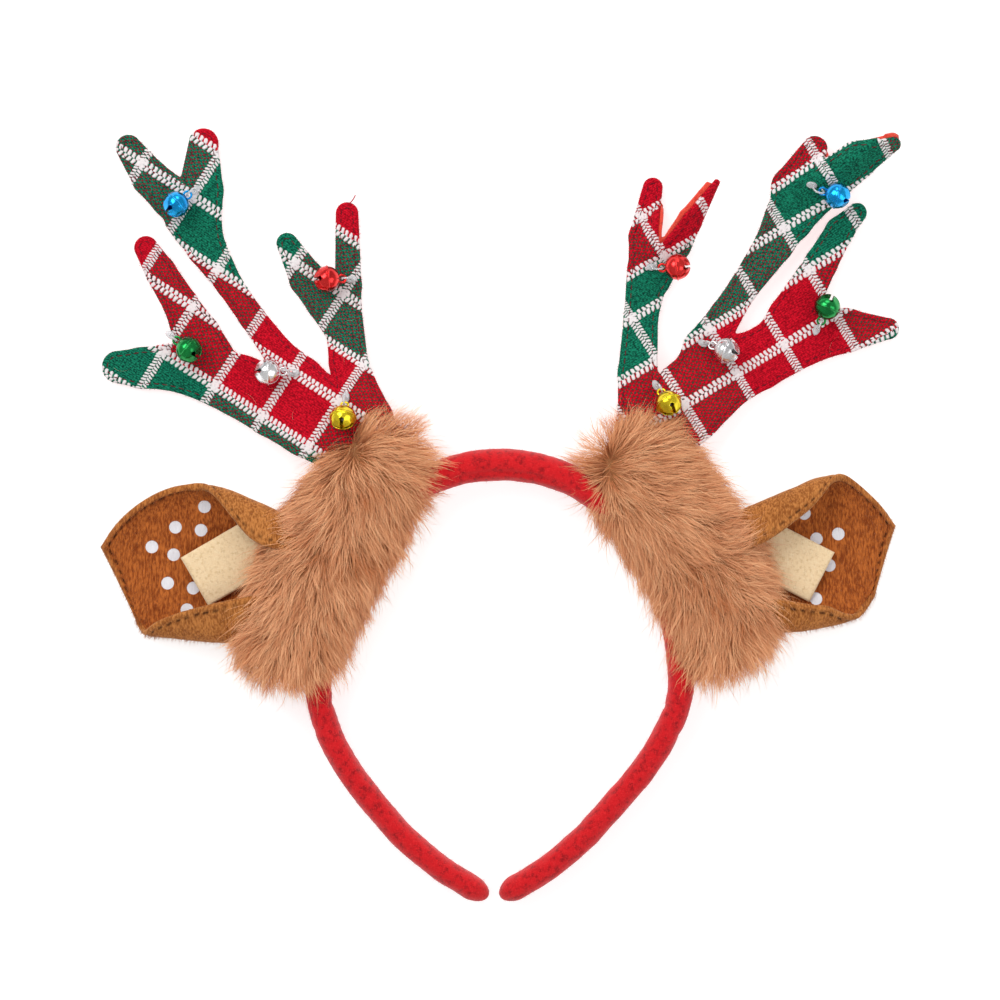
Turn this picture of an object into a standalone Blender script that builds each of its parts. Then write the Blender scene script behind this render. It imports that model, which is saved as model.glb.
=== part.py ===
"""Reindeer antler headband: a felt-covered padded band carries two fur sleeves, two plaid
antlers backed with red felt, two plush ears with felt tabs and ten jingle bells on clear pins.
It lies on its back: X runs across, Y from the leg tips to the antler tips and Z up."""

import math
import random

import bmesh
import bpy
import numpy as np
from mathutils import Matrix, Vector
from mathutils.geometry import delaunay_2d_cdt

# Driving dimensions, in metres
GAP = 0.0003              # clearance between pieces that touch on the real thing

BAND_SPAN = 0.1340        # across the two legs, centre line to centre line
BAND_RISE = 0.1605        # crown's centre line to the leg tips' ends
BAND_THICK = 0.0097       # the padded tube in the band's plane, at the legs
BAND_DEPTH = 0.0130       # the padded tube from front to back
CROWN_Y = 0.0190          # the crown's centre line along Y
TIP_SHIFT = -0.0022       # how far both legs lean to the left

SLEEVE_LIFT = 0.0124      # band's centre above the table inside the sleeves
SLEEVE_HALF_WIDTH = 0.0202
SLEEVE_HALF_HEIGHT = 0.0138
SLEEVE_OUT_LEFT = 0.0080  # sleeve's middle line outside the band's
SLEEVE_OUT_RIGHT = 0.0126
LOCK_LENGTH = 0.0150
LOCK_RADIUS = 0.0068
LOCK_FLATNESS = 0.62      # a lock's thickness as a share of its width

ANTLER_REACH_LEFT = 0.1122
ANTLER_REACH_RIGHT = 0.1134
CLOTH_THICK = 0.0015      # the woven front, and the same for the felt back
TINE_LIFT = 0.0024        # middle of an antler's two layers above the table

EAR_LENGTH_LEFT = 0.0790
EAR_LENGTH_RIGHT = 0.0700
EAR_THICK = 0.0018
TAB_WIDTH = 0.0208
TAB_THICK = 0.0014

BELL_RADIUS = 0.0048
BELL_WALL = 0.0005
CRIMP_PROUD = 0.0003
SLOT_WIDTH = 0.0009
RING_RADIUS = 0.0014
RING_WIRE = 0.0004
PELLET_RADIUS = 0.0015
PIN_WIRE = 0.00035
PADDLE_RADIUS = 0.0021

LEFT, RIGHT = -1, 1
SIDE_NAME = {LEFT: "left", RIGHT: "right"}

# One half of the band's centre line, crown to tip.
# Columns: across and down as shares of half the span and of the rise, thickness share
BAND_ROWS = (
    (0.000, 0.000, 1.22), (0.376, 0.033, 1.16), (0.575, 0.087, 1.10), (0.740, 0.161, 1.05),
    (0.867, 0.241, 1.00), (0.945, 0.334, 1.00), (0.989, 0.433, 1.00), (1.000, 0.526, 1.00),
    (0.925, 0.627, 0.98), (0.800, 0.714, 0.98), (0.672, 0.780, 0.97), (0.500, 0.861, 0.97),
    (0.300, 0.932, 0.96), (0.033, 1.000, 0.95),
)

# Branches of each antler. Columns: away from the middle, up and width, as shares of the
# antler's reach, measured from its root on the band
BRANCHES = {
    LEFT: {
        "neck": ((0.027, 0.067, 0.113), (0.033, 0.163, 0.187)),
        "outer_low": (
            (0.020, 0.108, 0.150), (0.117, 0.173, 0.253), (0.247, 0.240, 0.263),
            (0.367, 0.293, 0.233), (0.487, 0.349, 0.207), (0.617, 0.400, 0.187),
            (0.727, 0.413, 0.153), (0.817, 0.410, 0.137), (0.893, 0.413, 0.110)),
        "outer_up": (
            (0.560, 0.393, 0.167), (0.633, 0.517, 0.160), (0.683, 0.617, 0.117),
            (0.753, 0.731, 0.102), (0.800, 0.808, 0.080)),
        "middle": (
            (0.200, 0.283, 0.167), (0.283, 0.373, 0.147), (0.358, 0.457, 0.103),
            (0.450, 0.579, 0.087), (0.524, 0.686, 0.089), (0.600, 0.808, 0.130),
            (0.647, 0.913, 0.187)),
        "middle_left": (
            (0.633, 0.893, 0.147), (0.717, 0.977, 0.140), (0.787, 1.041, 0.123),
            (0.859, 1.141, 0.087)),
        "middle_right": ((0.633, 0.883, 0.167), (0.619, 1.000, 0.150), (0.610, 1.156, 0.100)),
        "inner_stem": (
            (0.020, 0.120, 0.133), (0.060, 0.233, 0.167), (0.107, 0.349, 0.143),
            (0.127, 0.426, 0.130), (0.150, 0.633, 0.123)),
        "inner_right": ((0.147, 0.573, 0.120), (0.130, 0.683, 0.090), (0.134, 0.923, 0.077)),
        "inner_left": (
            (0.157, 0.550, 0.120), (0.205, 0.632, 0.133), (0.267, 0.707, 0.120),
            (0.333, 0.823, 0.073)),
    },
    RIGHT: {
        "neck": ((0.037, 0.055, 0.113), (0.080, 0.135, 0.187)),
        "outer_low": (
            (0.060, 0.090, 0.147), (0.130, 0.168, 0.220), (0.225, 0.282, 0.267),
            (0.343, 0.389, 0.253), (0.467, 0.432, 0.200), (0.558, 0.485, 0.200),
            (0.680, 0.522, 0.167), (0.764, 0.532, 0.147), (0.900, 0.538, 0.073)),
        "outer_up": (
            (0.520, 0.464, 0.160), (0.580, 0.574, 0.150), (0.680, 0.752, 0.108),
            (0.742, 0.860, 0.094), (0.797, 0.918, 0.067)),
        "middle": (
            (0.247, 0.318, 0.167), (0.298, 0.468, 0.146), (0.367, 0.582, 0.106),
            (0.425, 0.670, 0.098), (0.527, 0.816, 0.128), (0.574, 0.906, 0.160)),
        "middle_left": ((0.580, 0.895, 0.147), (0.587, 1.002, 0.140), (0.659, 1.128, 0.087)),
        "middle_right": (
            (0.580, 0.902, 0.153), (0.663, 0.985, 0.140), (0.795, 1.086, 0.113),
            (0.913, 1.142, 0.043)),
        "inner_stem": (
            (0.053, 0.135, 0.133), (0.080, 0.268, 0.140), (0.076, 0.389, 0.130),
            (0.089, 0.580, 0.113), (0.114, 0.728, 0.143)),
        "inner_left": (
            (0.113, 0.702, 0.133), (0.097, 0.840, 0.097), (0.128, 1.002, 0.067)),
        "inner_right": (
            (0.130, 0.702, 0.120), (0.206, 0.810, 0.087), (0.250, 0.886, 0.063),
            (0.333, 1.018, 0.017)),
    },
}

# Twisted tines of the right antler. Columns: base away and up, tip away and up,
# as shares of the reach, and how steeply the tine's upper left edge stands up
TWISTS = {
    LEFT: (),
    RIGHT: ((0.620, 0.930, 0.930, 1.150, 0.75), (0.150, 0.735, 0.333, 1.020, 0.80)),
}

# Sections of each ear, tip to root. Columns: upper silhouette away and up, lower silhouette
# away and up, rise of the fold, all as shares of the ear's length, then how far the
# section turns over at its upper and lower edge, in degrees from the bottom
EAR_ROWS = {
    LEFT: (
        (1.092, 0.135, 0.905, -0.252, 0.050, 60, 72),
        (1.020, 0.220, 0.860, -0.292, 0.075, 68, 106),
        (0.900, 0.315, 0.800, -0.302, 0.095, 76, 126),
        (0.755, 0.380, 0.690, -0.312, 0.105, 84, 138),
        (0.610, 0.396, 0.600, -0.322, 0.110, 95, 145),
        (0.485, 0.375, 0.492, -0.328, 0.112, 128, 152),
        (0.370, 0.330, 0.378, -0.322, 0.112, 150, 158),
        (0.140, 0.225, 0.165, -0.235, 0.100, 158, 160),
    ),
    RIGHT: (
        (1.195, 0.290, 1.075, -0.110, 0.050, 60, 72),
        (1.115, 0.385, 0.985, -0.205, 0.080, 68, 100),
        (1.015, 0.465, 0.900, -0.240, 0.100, 76, 118),
        (0.905, 0.520, 0.805, -0.262, 0.115, 92, 132),
        (0.775, 0.510, 0.705, -0.280, 0.122, 132, 138),
        (0.625, 0.450, 0.580, -0.290, 0.124, 148, 146),
        (0.490, 0.395, 0.440, -0.290, 0.120, 158, 152),
        (0.270, 0.300, 0.245, -0.240, 0.105, 162, 158),
    ),
}

# Length of the locks towards the head, as a share of the others
INNER_LOCK = {LEFT: 0.85, RIGHT: 0.62}

# Where each ear, sleeve and antler sits on the band, as shares of the half band from the crown
SLEEVE_FROM = {LEFT: 0.122, RIGHT: 0.138}
SLEEVE_TO = {LEFT: 0.515, RIGHT: 0.492}
ANTLER_AT = {LEFT: 0.191, RIGHT: 0.185}
EAR_AT = 0.345

# Tab's outer end in the ear. Columns: away and up as shares of the ear's length, heading in
# degrees from its outer end to its root, visible and hidden length as a share of the length
TAB_ROWS = {LEFT: (0.632, -0.055, -30.0, 0.40), RIGHT: (0.790, -0.010, -27.0, 0.42)}

# Bells of each antler. Columns: name, away and up as shares of the reach, direction of the
# ring in degrees from outward, and how far the ring is tipped down, in degrees
BELLS = {
    LEFT: (
        ("blue", 0.695, 0.947, 139.0, 12.0), ("red", 0.198, 0.702, 178.0, 10.0),
        ("green", 0.653, 0.468, 37.0, 8.0), ("silver", 0.392, 0.394, 178.0, 12.0),
        ("gold", 0.141, 0.241, 92.0, 26.0)),
    RIGHT: (
        ("blue", 0.726, 0.967, 164.0, 12.0), ("red", 0.206, 0.737, 184.0, 10.0),
        ("green", 0.695, 0.606, 247.0, 8.0), ("silver", 0.366, 0.462, 156.0, 16.0),
        ("gold", 0.174, 0.289, 116.0, 24.0)),
}

COLOURS = {
    "band_felt": (0.700, 0.012, 0.018), "fur": (0.420, 0.205, 0.090),
    "plaid": (0.320, 0.040, 0.045), "back_felt": (0.680, 0.045, 0.025),
    "plush": (0.300, 0.105, 0.022), "cream_felt": (0.660, 0.530, 0.260),
    "blue": (0.010, 0.300, 0.650), "red": (0.640, 0.015, 0.015),
    "green": (0.010, 0.200, 0.040), "silver": (0.780, 0.780, 0.790),
    "gold": (0.700, 0.500, 0.020), "clear": (0.850, 0.870, 0.880), "pellet": (0.400, 0.400, 0.400),
}


def new_collection(name, hidden=False):
    """A collection under the scene, which the render leaves out if it is hidden."""
    made = bpy.data.collections.new(name)
    bpy.context.scene.collection.children.link(made)
    made.hide_render = hidden
    return made


def finish_material(name, roughness, metallic=0.0):
    """A Principled material in the named colour."""
    made = bpy.data.materials.new(name)
    made.use_nodes = True
    shader = made.node_tree.nodes["Principled BSDF"]
    shader.inputs["Base Color"].default_value = (*COLOURS[name], 1.0)
    shader.inputs["Roughness"].default_value = roughness
    shader.inputs["Metallic"].default_value = metallic
    return made


def add_object(name, mesh, owner, material=None):
    """An object of the mesh in the owner collection, with its material on its own slot."""
    made = bpy.data.objects.new(name, mesh)
    owner.objects.link(made)
    if material:
        if not mesh.materials:
            mesh.materials.append(None)
        made.material_slots[0].link = "OBJECT"
        made.material_slots[0].material = material
    if owner.hide_render:
        made.hide_render = True
        made.display_type = "WIRE"
    return made


def cut_or_join(target, operation, collection):
    """A live exact Boolean between the target and everything in the collection."""
    step = target.modifiers.new(operation.lower() + "_" + collection.name, "BOOLEAN")
    step.operation = operation
    step.solver = "EXACT"
    step.operand_type = "COLLECTION"
    step.collection = collection


def evaluated_mesh(made):
    """The object's mesh after its modifiers; the object itself is removed."""
    bpy.context.view_layer.update()
    graph = bpy.context.evaluated_depsgraph_get()
    mesh = bpy.data.meshes.new_from_object(made.evaluated_get(graph))
    bpy.data.objects.remove(made)
    return mesh


def main_body(mesh):
    """The mesh without the small crumbs of fur that the slots cut free."""
    skin = bmesh.new()
    skin.from_mesh(mesh)
    left = set(skin.verts)
    bodies = []
    while left:
        front = [left.pop()]
        body = list(front)
        while front:
            near = {edge.other_vert(vert) for vert in front for edge in vert.link_edges} & left
            left -= near
            front = list(near)
            body += front
        bodies.append(body)
    bodies.sort(key=len)
    for body in bodies[:-1]:
        bmesh.ops.delete(skin, geom=body, context="VERTS")
    skin.to_mesh(mesh)
    skin.free()
    return mesh


def loft_mesh(name, rings):
    """Closed skin through rings of equally many points, with a flat cap at each end."""
    skin = bmesh.new()
    rows = [[skin.verts.new(point) for point in ring] for ring in rings]
    for here, there in zip(rows, rows[1:]):
        for i in range(len(here)):
            k = (i + 1) % len(here)
            skin.faces.new((here[i], here[k], there[k], there[i]))
    skin.faces.new(rows[0][::-1])
    skin.faces.new(rows[-1])
    bmesh.ops.recalc_face_normals(skin, faces=skin.faces)
    mesh = bpy.data.meshes.new(name)
    skin.to_mesh(mesh)
    skin.free()
    mesh.shade_smooth()
    return mesh


def chords(rows):
    """Chord length from the first row to each row, over the first two columns."""
    steps = np.linalg.norm(np.diff(rows[:, :2], axis=0), axis=1)
    return np.concatenate([[0.0], np.cumsum(steps)])


def smooth_curve(rows, at):
    """Catmull-Rom curve through the rows, read at these chord lengths, every column."""
    chord = chords(rows)
    slope = np.gradient(rows, chord, axis=0)
    cell = np.clip(np.searchsorted(chord, at, side="right") - 1, 0, len(rows) - 2)
    width = (chord[cell + 1] - chord[cell])[:, None]
    t = (at[:, None] - chord[cell][:, None]) / width
    return (
        (2 * t**3 - 3 * t**2 + 1) * rows[cell] + (t**3 - 2 * t**2 + t) * width * slope[cell]
        + (3 * t**2 - 2 * t**3) * rows[cell + 1] + (t**3 - t**2) * width * slope[cell + 1])


def band_rows():
    """The whole centre line from the left tip to the right: X, Y and thickness."""
    half = np.array(BAND_ROWS)
    rows = []
    for side, table in ((LEFT, half[::-1]), (RIGHT, half[1:])):
        lean = TIP_SHIFT * np.clip((table[:, 1] - 0.5) / 0.3, 0.0, 1.0)
        x = side * table[:, 0] * BAND_SPAN / 2 + lean
        y = CROWN_Y - table[:, 1] * BAND_RISE
        rows.append(np.stack([x, y, table[:, 2] * BAND_THICK], axis=1))
    return np.concatenate(rows)


def band_height(y):
    """The band's plane: its tips lie on the table and the sleeves lift its crown."""
    tip_z = BAND_DEPTH / 2 + GAP / 3
    share = (y - (CROWN_Y - BAND_RISE)) / BAND_RISE
    return tip_z + (SLEEVE_LIFT - tip_z) * np.minimum(share / 0.85, 1.0)


def band_stations(shares):
    """Centre points, outward directions and thickness at these shares of the half band,
    negative on the left and positive on the right."""
    rows = band_rows()
    total = chords(rows)[-1]
    reach = np.abs(np.asarray(shares, float))
    at = total / 2 * (1.0 + np.asarray(shares, float))
    here = smooth_curve(rows, np.clip(at, 0.0, total))
    ahead = smooth_curve(rows, np.clip(at + total * 1e-3, 0.0, total))
    behind = smooth_curve(rows, np.clip(at - total * 1e-3, 0.0, total))
    along = ahead[:, :2] - behind[:, :2]
    along /= np.linalg.norm(along, axis=1)[:, None]
    centre = np.stack([here[:, 0], here[:, 1], band_height(here[:, 1])], axis=1)
    outward = np.stack([-along[:, 1], along[:, 0], np.zeros(len(reach))], axis=1)
    return centre, outward, here[:, 2]


def oval_rings(centre, across, half_across, half_up, sides, power=1.0):
    """Oval rings round the centre points: across in their plane and up along Z."""
    turn = np.linspace(0.0, 2 * math.pi, sides, endpoint=False) + math.pi / sides
    reach = np.sign(np.cos(turn)) * np.abs(np.cos(turn)) ** power
    lift = np.sign(np.sin(turn)) * np.abs(np.sin(turn)) ** power
    rings = centre[:, None, :] + across[:, None, :] * (half_across[:, None] * reach)[:, :, None]
    rings[:, :, 2] += half_up[:, None] * lift
    return rings


def band_mesh(name, grow=0.0):
    """The padded tube, rounded at both tips; grow widens it all round."""
    rows = band_rows()
    total = chords(rows)[-1]
    nose = BAND_THICK * 0.8 / (total / 2)
    round_off = nose * (1.0 - np.cos(np.radians([14.0, 38.0, 64.0])))
    half = np.concatenate([np.linspace(0.0, 1.0 - nose, 18), 1.0 - round_off[::-1]])
    shares = np.concatenate([-half[::-1], half[1:]])
    centre, outward, thick = band_stations(shares)
    end = np.clip((np.abs(shares) - (1.0 - nose)) / nose, 0.0, 1.0)
    scale = np.sqrt(1.0 - end**2)
    rings = oval_rings(
        centre, outward, thick / 2 * scale + grow, BAND_DEPTH / 2 * scale + grow, 10, 0.88)
    return loft_mesh(name, rings)


def sleeve_axis(side, shares):
    """Middle line of a fur sleeve, its outward direction and the way along it."""
    centre, outward, _ = band_stations(side * np.asarray(shares))
    out = SLEEVE_OUT_LEFT if side == LEFT else SLEEVE_OUT_RIGHT
    middle = centre + outward * out
    middle[:, 2] = SLEEVE_HALF_HEIGHT - 2 * GAP
    along = np.gradient(middle, axis=0)
    along /= np.linalg.norm(along, axis=1)[:, None]
    return middle, outward, along


def sleeve_scale(shares):
    """Rounded ends of a sleeve: its section against the share along it."""
    end = np.clip((np.abs(2.0 * shares - 1.0) - 0.66) / 0.38, 0.0, 1.0)
    return np.sqrt(1.0 - end**2)


def add_locks(side, owner):
    """Tapered locks that lean down the sleeve, in staggered rows and at both ends."""
    draw = random.Random(11 + side)
    span = np.linspace(SLEEVE_FROM[side], SLEEVE_TO[side], 41)
    middle, outward, along = sleeve_axis(side, span)
    places = []
    for row in range(5):
        for k in range(5):
            share = (row + 0.6 + 0.35 * (k % 2)) / 5.8
            turn = math.radians(-6.0 + 43.0 * (k + 0.5 * (row % 2)))
            places.append((share, turn, 1.45))
    for k in range(4):
        places.append((0.06, math.radians(15.0 + 48.0 * k), -0.9))
        places.append((0.955, math.radians(15.0 + 48.0 * k), 2.2))
    for number, (share, turn, lean) in enumerate(places):
        i = min(int(share * 40 + 0.5), 40)
        scale = float(sleeve_scale(np.array([share]))[0])
        reach = Vector(outward[i]) * math.cos(turn) + Vector((0, 0, 1)) * math.sin(turn)
        surface = Vector(outward[i]) * (SLEEVE_HALF_WIDTH * scale * math.cos(turn))
        surface += Vector((0, 0, SLEEVE_HALF_HEIGHT * scale * math.sin(turn)))
        sideways = Vector([draw.uniform(-0.22, 0.22) for _ in range(3)])
        way = (reach + Vector(along[i]) * lean + sideways).normalized()
        length = LOCK_LENGTH * draw.uniform(0.85, 1.15)
        if math.cos(turn) < -0.3:
            length *= INNER_LOCK[side]
        lock = bmesh.new()
        bmesh.ops.create_cone(
            lock, cap_ends=True, segments=4, radius1=LOCK_RADIUS, radius2=LOCK_RADIUS * 0.16,
            depth=length)
        foot = Vector(middle[i]) + surface - way * (LOCK_LENGTH * 0.16)
        flank = way.cross(reach).normalized()
        turned = Matrix((flank, way.cross(flank), way)).transposed().to_4x4()
        flat = Matrix.Diagonal((1.0, LOCK_FLATNESS, 1.0, 1.0))
        place = Matrix.Translation(foot + way * (length * 0.36))
        bmesh.ops.transform(lock, matrix=place @ turned @ flat, verts=lock.verts)
        name = "lock_%s_%02d" % (SIDE_NAME[side], number)
        mesh = bpy.data.meshes.new(name)
        lock.to_mesh(mesh)
        lock.free()
        add_object(name, mesh, owner)


def add_sleeve(side, parts, material):
    """A fur sleeve: hollow round the band, with locks fused to it and a flat rest."""
    shares = np.linspace(0.0, 1.0, 11)
    span = SLEEVE_FROM[side] + (SLEEVE_TO[side] - SLEEVE_FROM[side]) * shares
    middle, outward, _ = sleeve_axis(side, span)
    scale = sleeve_scale(shares)
    rings = oval_rings(
        middle, outward, SLEEVE_HALF_WIDTH * scale, SLEEVE_HALF_HEIGHT * scale, 14)
    name = "fur_sleeve_" + SIDE_NAME[side]
    sleeve = add_object(name, loft_mesh(name, rings), parts, material)
    locks = new_collection("locks_" + SIDE_NAME[side], hidden=True)
    add_locks(side, locks)
    cut_or_join(sleeve, "UNION", locks)

    cutters = new_collection("cutters_" + SIDE_NAME[side], hidden=True)
    slab = bmesh.new()
    bmesh.ops.create_cube(slab, size=1.0)
    bmesh.ops.scale(slab, vec=(BAND_SPAN, BAND_RISE, BAND_DEPTH), verts=slab.verts)
    at = Vector((side * BAND_SPAN / 2, 0.0, -BAND_DEPTH / 2))
    bmesh.ops.translate(slab, vec=at, verts=slab.verts)
    mesh = bpy.data.meshes.new("table_" + SIDE_NAME[side])
    slab.to_mesh(mesh)
    slab.free()
    add_object(mesh.name, mesh, cutters)
    add_object("band_room", band_mesh("band_room", GAP), cutters)
    add_antler_room(side, cutters)
    add_ear(side, cutters, None, 1.8 * GAP)
    add_tab(side, cutters, None, 1.8 * GAP)
    cut_or_join(sleeve, "DIFFERENCE", cutters)
    add_object(name, main_body(evaluated_mesh(sleeve)), parts, material)


def antler_root(side):
    """Where an antler meets the band, and the unit of its branch table."""
    centre, outward, thick = band_stations([side * ANTLER_AT[side]])
    reach = ANTLER_REACH_LEFT if side == LEFT else ANTLER_REACH_RIGHT
    root = centre[0] + outward[0] * (thick[0] / 2)
    return root[:2], reach


def branch_field(side, x, y):
    """Signed distance to an antler's outline, in shares of its reach: each branch is a
    string of round-ended strokes whose width changes evenly, and strokes blend softly."""
    blend = 0.008
    field = np.full(np.shape(x), 9.0)
    for rows in BRANCHES[side].values():
        for (x0, y0, w0), (x1, y1, w1) in zip(rows, rows[1:]):
            t = ((x - x0) * (x1 - x0) + (y - y0) * (y1 - y0)) / ((x1 - x0) ** 2 + (y1 - y0) ** 2)
            t = np.clip(t, 0.0, 1.0)
            gap = np.hypot(x - x0 - t * (x1 - x0), y - y0 - t * (y1 - y0))
            stroke = gap - (w0 + t * (w1 - w0)) / 2
            soft = np.clip(blend - np.abs(field - stroke), 0.0, None)
            field = np.minimum(field, stroke) - soft**2 / (4 * blend)
    return field


def field_outline(side, grow, pitch):
    """Closed outline where the field is zero, found on the two triangles of each square
    of a grid, as points in shares of the reach."""
    across = np.arange(-0.12, 1.06, pitch)
    up = np.arange(-0.06, 1.28, pitch)
    grid_x, grid_y = np.meshgrid(across, up, indexing="ij")
    value = branch_field(side, grid_x, grid_y) - grow
    value[value == 0.0] = 1e-9
    links = {}
    points = {}
    near = np.abs(value) < pitch * 3
    for i, j in zip(*np.nonzero(near[:-1, :-1])):
        for corners in (((i, j), (i + 1, j), (i + 1, j + 1)), ((i, j), (i + 1, j + 1), (i, j + 1))):
            cuts = []
            for a, b in zip(corners, corners[1:] + corners[:1]):
                if (value[a] < 0) != (value[b] < 0):
                    key = (min(a, b), max(a, b))
                    t = value[key[0]] / (value[key[0]] - value[key[1]])
                    points[key] = (
                        across[key[0][0]] + t * pitch * (key[1][0] - key[0][0]),
                        up[key[0][1]] + t * pitch * (key[1][1] - key[0][1]))
                    cuts.append(key)
            if cuts:
                links.setdefault(cuts[0], []).append(cuts[1])
                links.setdefault(cuts[1], []).append(cuts[0])
    start = next(iter(links))
    loop, last, here = [start], None, start
    while True:
        step = [key for key in links[here] if key != last][0]
        if step == start:
            break
        last, here = here, step
        loop.append(here)
    return [points[key] for key in loop]


def thin_outline(loop, least):
    """Outline without the points whose triangle with their neighbours is smallest, and
    with no edge so long that it would cut across the antler's bend."""
    longest = 0.085
    loop = [np.array(point) for point in loop]

    def area(k):
        a, b, c = loop[k - 1], loop[k], loop[(k + 1) % len(loop)]
        if np.linalg.norm(c - a) > longest:
            return 1.0
        return abs((b[0] - a[0]) * (c[1] - a[1]) - (b[1] - a[1]) * (c[0] - a[0]))

    areas = [area(k) for k in range(len(loop))]
    while min(areas) < least:
        k = areas.index(min(areas))
        del loop[k], areas[k]
        for near in (k - 1, k):
            near %= len(loop)
            areas[near] = area(near)
    return loop


def antler_height(side, x, y):
    """Height of an antler's middle over the table, by shares of its reach: it leaves the
    sleeve at the band's height, settles towards the table and waves a little. A twisted
    tine tilts about its own line, more towards its tip."""
    root_z = SLEEVE_LIFT
    settle = np.clip((np.hypot(x, y) - 0.10) / 0.62, 0.0, 1.0)
    settle = settle * settle * (3.0 - 2.0 * settle)
    reach = antler_root(side)[1]
    wave = 0.008 * reach * (1.0 + np.sin(5.2 * x + 1.0) * np.cos(4.1 * y))
    z = root_z + (TINE_LIFT - root_z) * settle + wave * settle
    for x0, y0, x1, y1, slope in TWISTS[side]:
        length = math.hypot(x1 - x0, y1 - y0)
        ux, uy = (x1 - x0) / length, (y1 - y0) / length
        along = ((x - x0) * ux + (y - y0) * uy) / length
        off = uy * (x - x0) - ux * (y - y0)
        grow = np.clip(along / 0.55, 0.0, 1.0)
        near = np.clip(1.6 - np.abs(off) / 0.07, 0.0, 1.0)
        z = z + reach * grow * near * (0.050 - slope * off)
    return z


def antler_surface(side, x, y, offset):
    """Points at this distance along the normal from the middle of an antler's layers."""
    root, reach = antler_root(side)
    step = 1e-3
    z = antler_height(side, x, y)
    dx = (antler_height(side, x + step, y) - z) / (step * reach)
    dy = (antler_height(side, x, y + step) - z) / (step * reach)
    length = np.sqrt(1.0 + dx**2 + dy**2)
    return np.stack([
        root[0] + side * (x * reach - offset * dx / length),
        root[1] + y * reach - offset * dy / length,
        z + offset / length], axis=-1)


def antler_mesh(name, side, low, high, grow=0.0):
    """A layer of an antler between two distances from its middle, inside its outline."""
    reach = antler_root(side)[1]
    loop = thin_outline(field_outline(side, grow / reach, 0.011), 0.00055)
    spot = [Vector((float(p[0]), float(p[1]))) for p in loop]
    inner = []
    for across in np.arange(-0.10, 1.04, 0.072):
        for up in np.arange(-0.04, 1.26, 0.072):
            if branch_field(side, np.array(across), np.array(up)) < -0.030:
                inner.append(Vector((float(across), float(up))))
    flat, _, faces, _, _, _ = delaunay_2d_cdt(
        spot + inner, [], [list(range(len(spot)))], 1, 1e-7)
    x = np.array([p.x for p in flat])
    y = np.array([p.y for p in flat])
    count = len(flat)
    ends = [antler_surface(side, x, y, low), antler_surface(side, x, y, high)]
    skin = bmesh.new()
    verts = [skin.verts.new(point) for point in np.concatenate(ends)]
    rim = {}
    for face in faces:
        skin.faces.new([verts[k] for k in face[::-1]])
        skin.faces.new([verts[k + count] for k in face])
        for a, b in zip(face, list(face[1:]) + [face[0]]):
            rim[(a, b)] = True
    for a, b in rim:
        if (b, a) not in rim:
            skin.faces.new([verts[a], verts[b], verts[b + count], verts[a + count]])
    bmesh.ops.recalc_face_normals(skin, faces=skin.faces)
    mesh = bpy.data.meshes.new(name)
    skin.to_mesh(mesh)
    skin.free()
    return mesh


def add_antler_room(side, cutters):
    """The slot that an antler's two layers take in the fur."""
    room = 2.4 * GAP
    reach = GAP / 2 + CLOTH_THICK + room
    add_object("antler_room", antler_mesh("antler_room", side, -reach, reach, room), cutters)


def add_antler(side, parts, front, back):
    """The woven front and the felt back of an antler, a thin gap apart."""
    name = "antler_front_" + SIDE_NAME[side]
    add_object(name, antler_mesh(name, side, GAP / 2, GAP / 2 + CLOTH_THICK), parts, front)
    name = "antler_back_" + SIDE_NAME[side]
    add_object(name, antler_mesh(name, side, -GAP / 2 - CLOTH_THICK, -GAP / 2), parts, back)


def ear_place(side):
    """Where an ear's root lies on the band, and its length."""
    centre, outward, thick = band_stations([side * EAR_AT])
    length = EAR_LENGTH_LEFT if side == LEFT else EAR_LENGTH_RIGHT
    return centre[0] + outward[0] * (thick[0] / 2), length


def ear_rows(side, count):
    """Smooth sections of an ear in metres: upper and lower silhouette, rise and turns."""
    rows = np.array(EAR_ROWS[side], float)
    total = chords(rows)[-1]
    return smooth_curve(rows, np.linspace(0.0, total, count))


def ear_floor(side, share):
    """Height of the bottom of an ear's section, by the share from tip to root."""
    lift = EAR_THICK / 2 + GAP
    return lift + (SLEEVE_LIFT * 0.42) * np.clip((share - 0.35) / 0.65, 0.0, 1.0) ** 2


def ear_points(side, count, columns, grow=0.0):
    """Points of an ear's middle surface: each section is an arc of an ellipse that starts
    at its lower edge, passes the bottom and turns over the front at its upper edge."""
    root, length = ear_place(side)
    rows = ear_rows(side, count)
    top, low = rows[:, 0:2] * length, rows[:, 2:4] * length
    rise = rows[:, 4] * length
    half = np.linalg.norm(top - low, axis=1) / 2
    over = np.degrees(grow / half)
    turn = np.linspace(-(rows[:, 6] + over), rows[:, 5] + over, columns, axis=1)
    turn = np.radians(turn)
    middle = (top + low) / 2
    flat = middle[:, None, :] + (top - low)[:, None, :] / 2 * np.sin(turn)[:, :, None]
    share = np.linspace(0.0, 1.0, count)
    z = ear_floor(side, share)[:, None] + rise[:, None] * (1.0 - np.cos(turn))
    return np.stack([root[0] + side * flat[:, :, 0], root[1] + flat[:, :, 1], z], axis=2)


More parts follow.
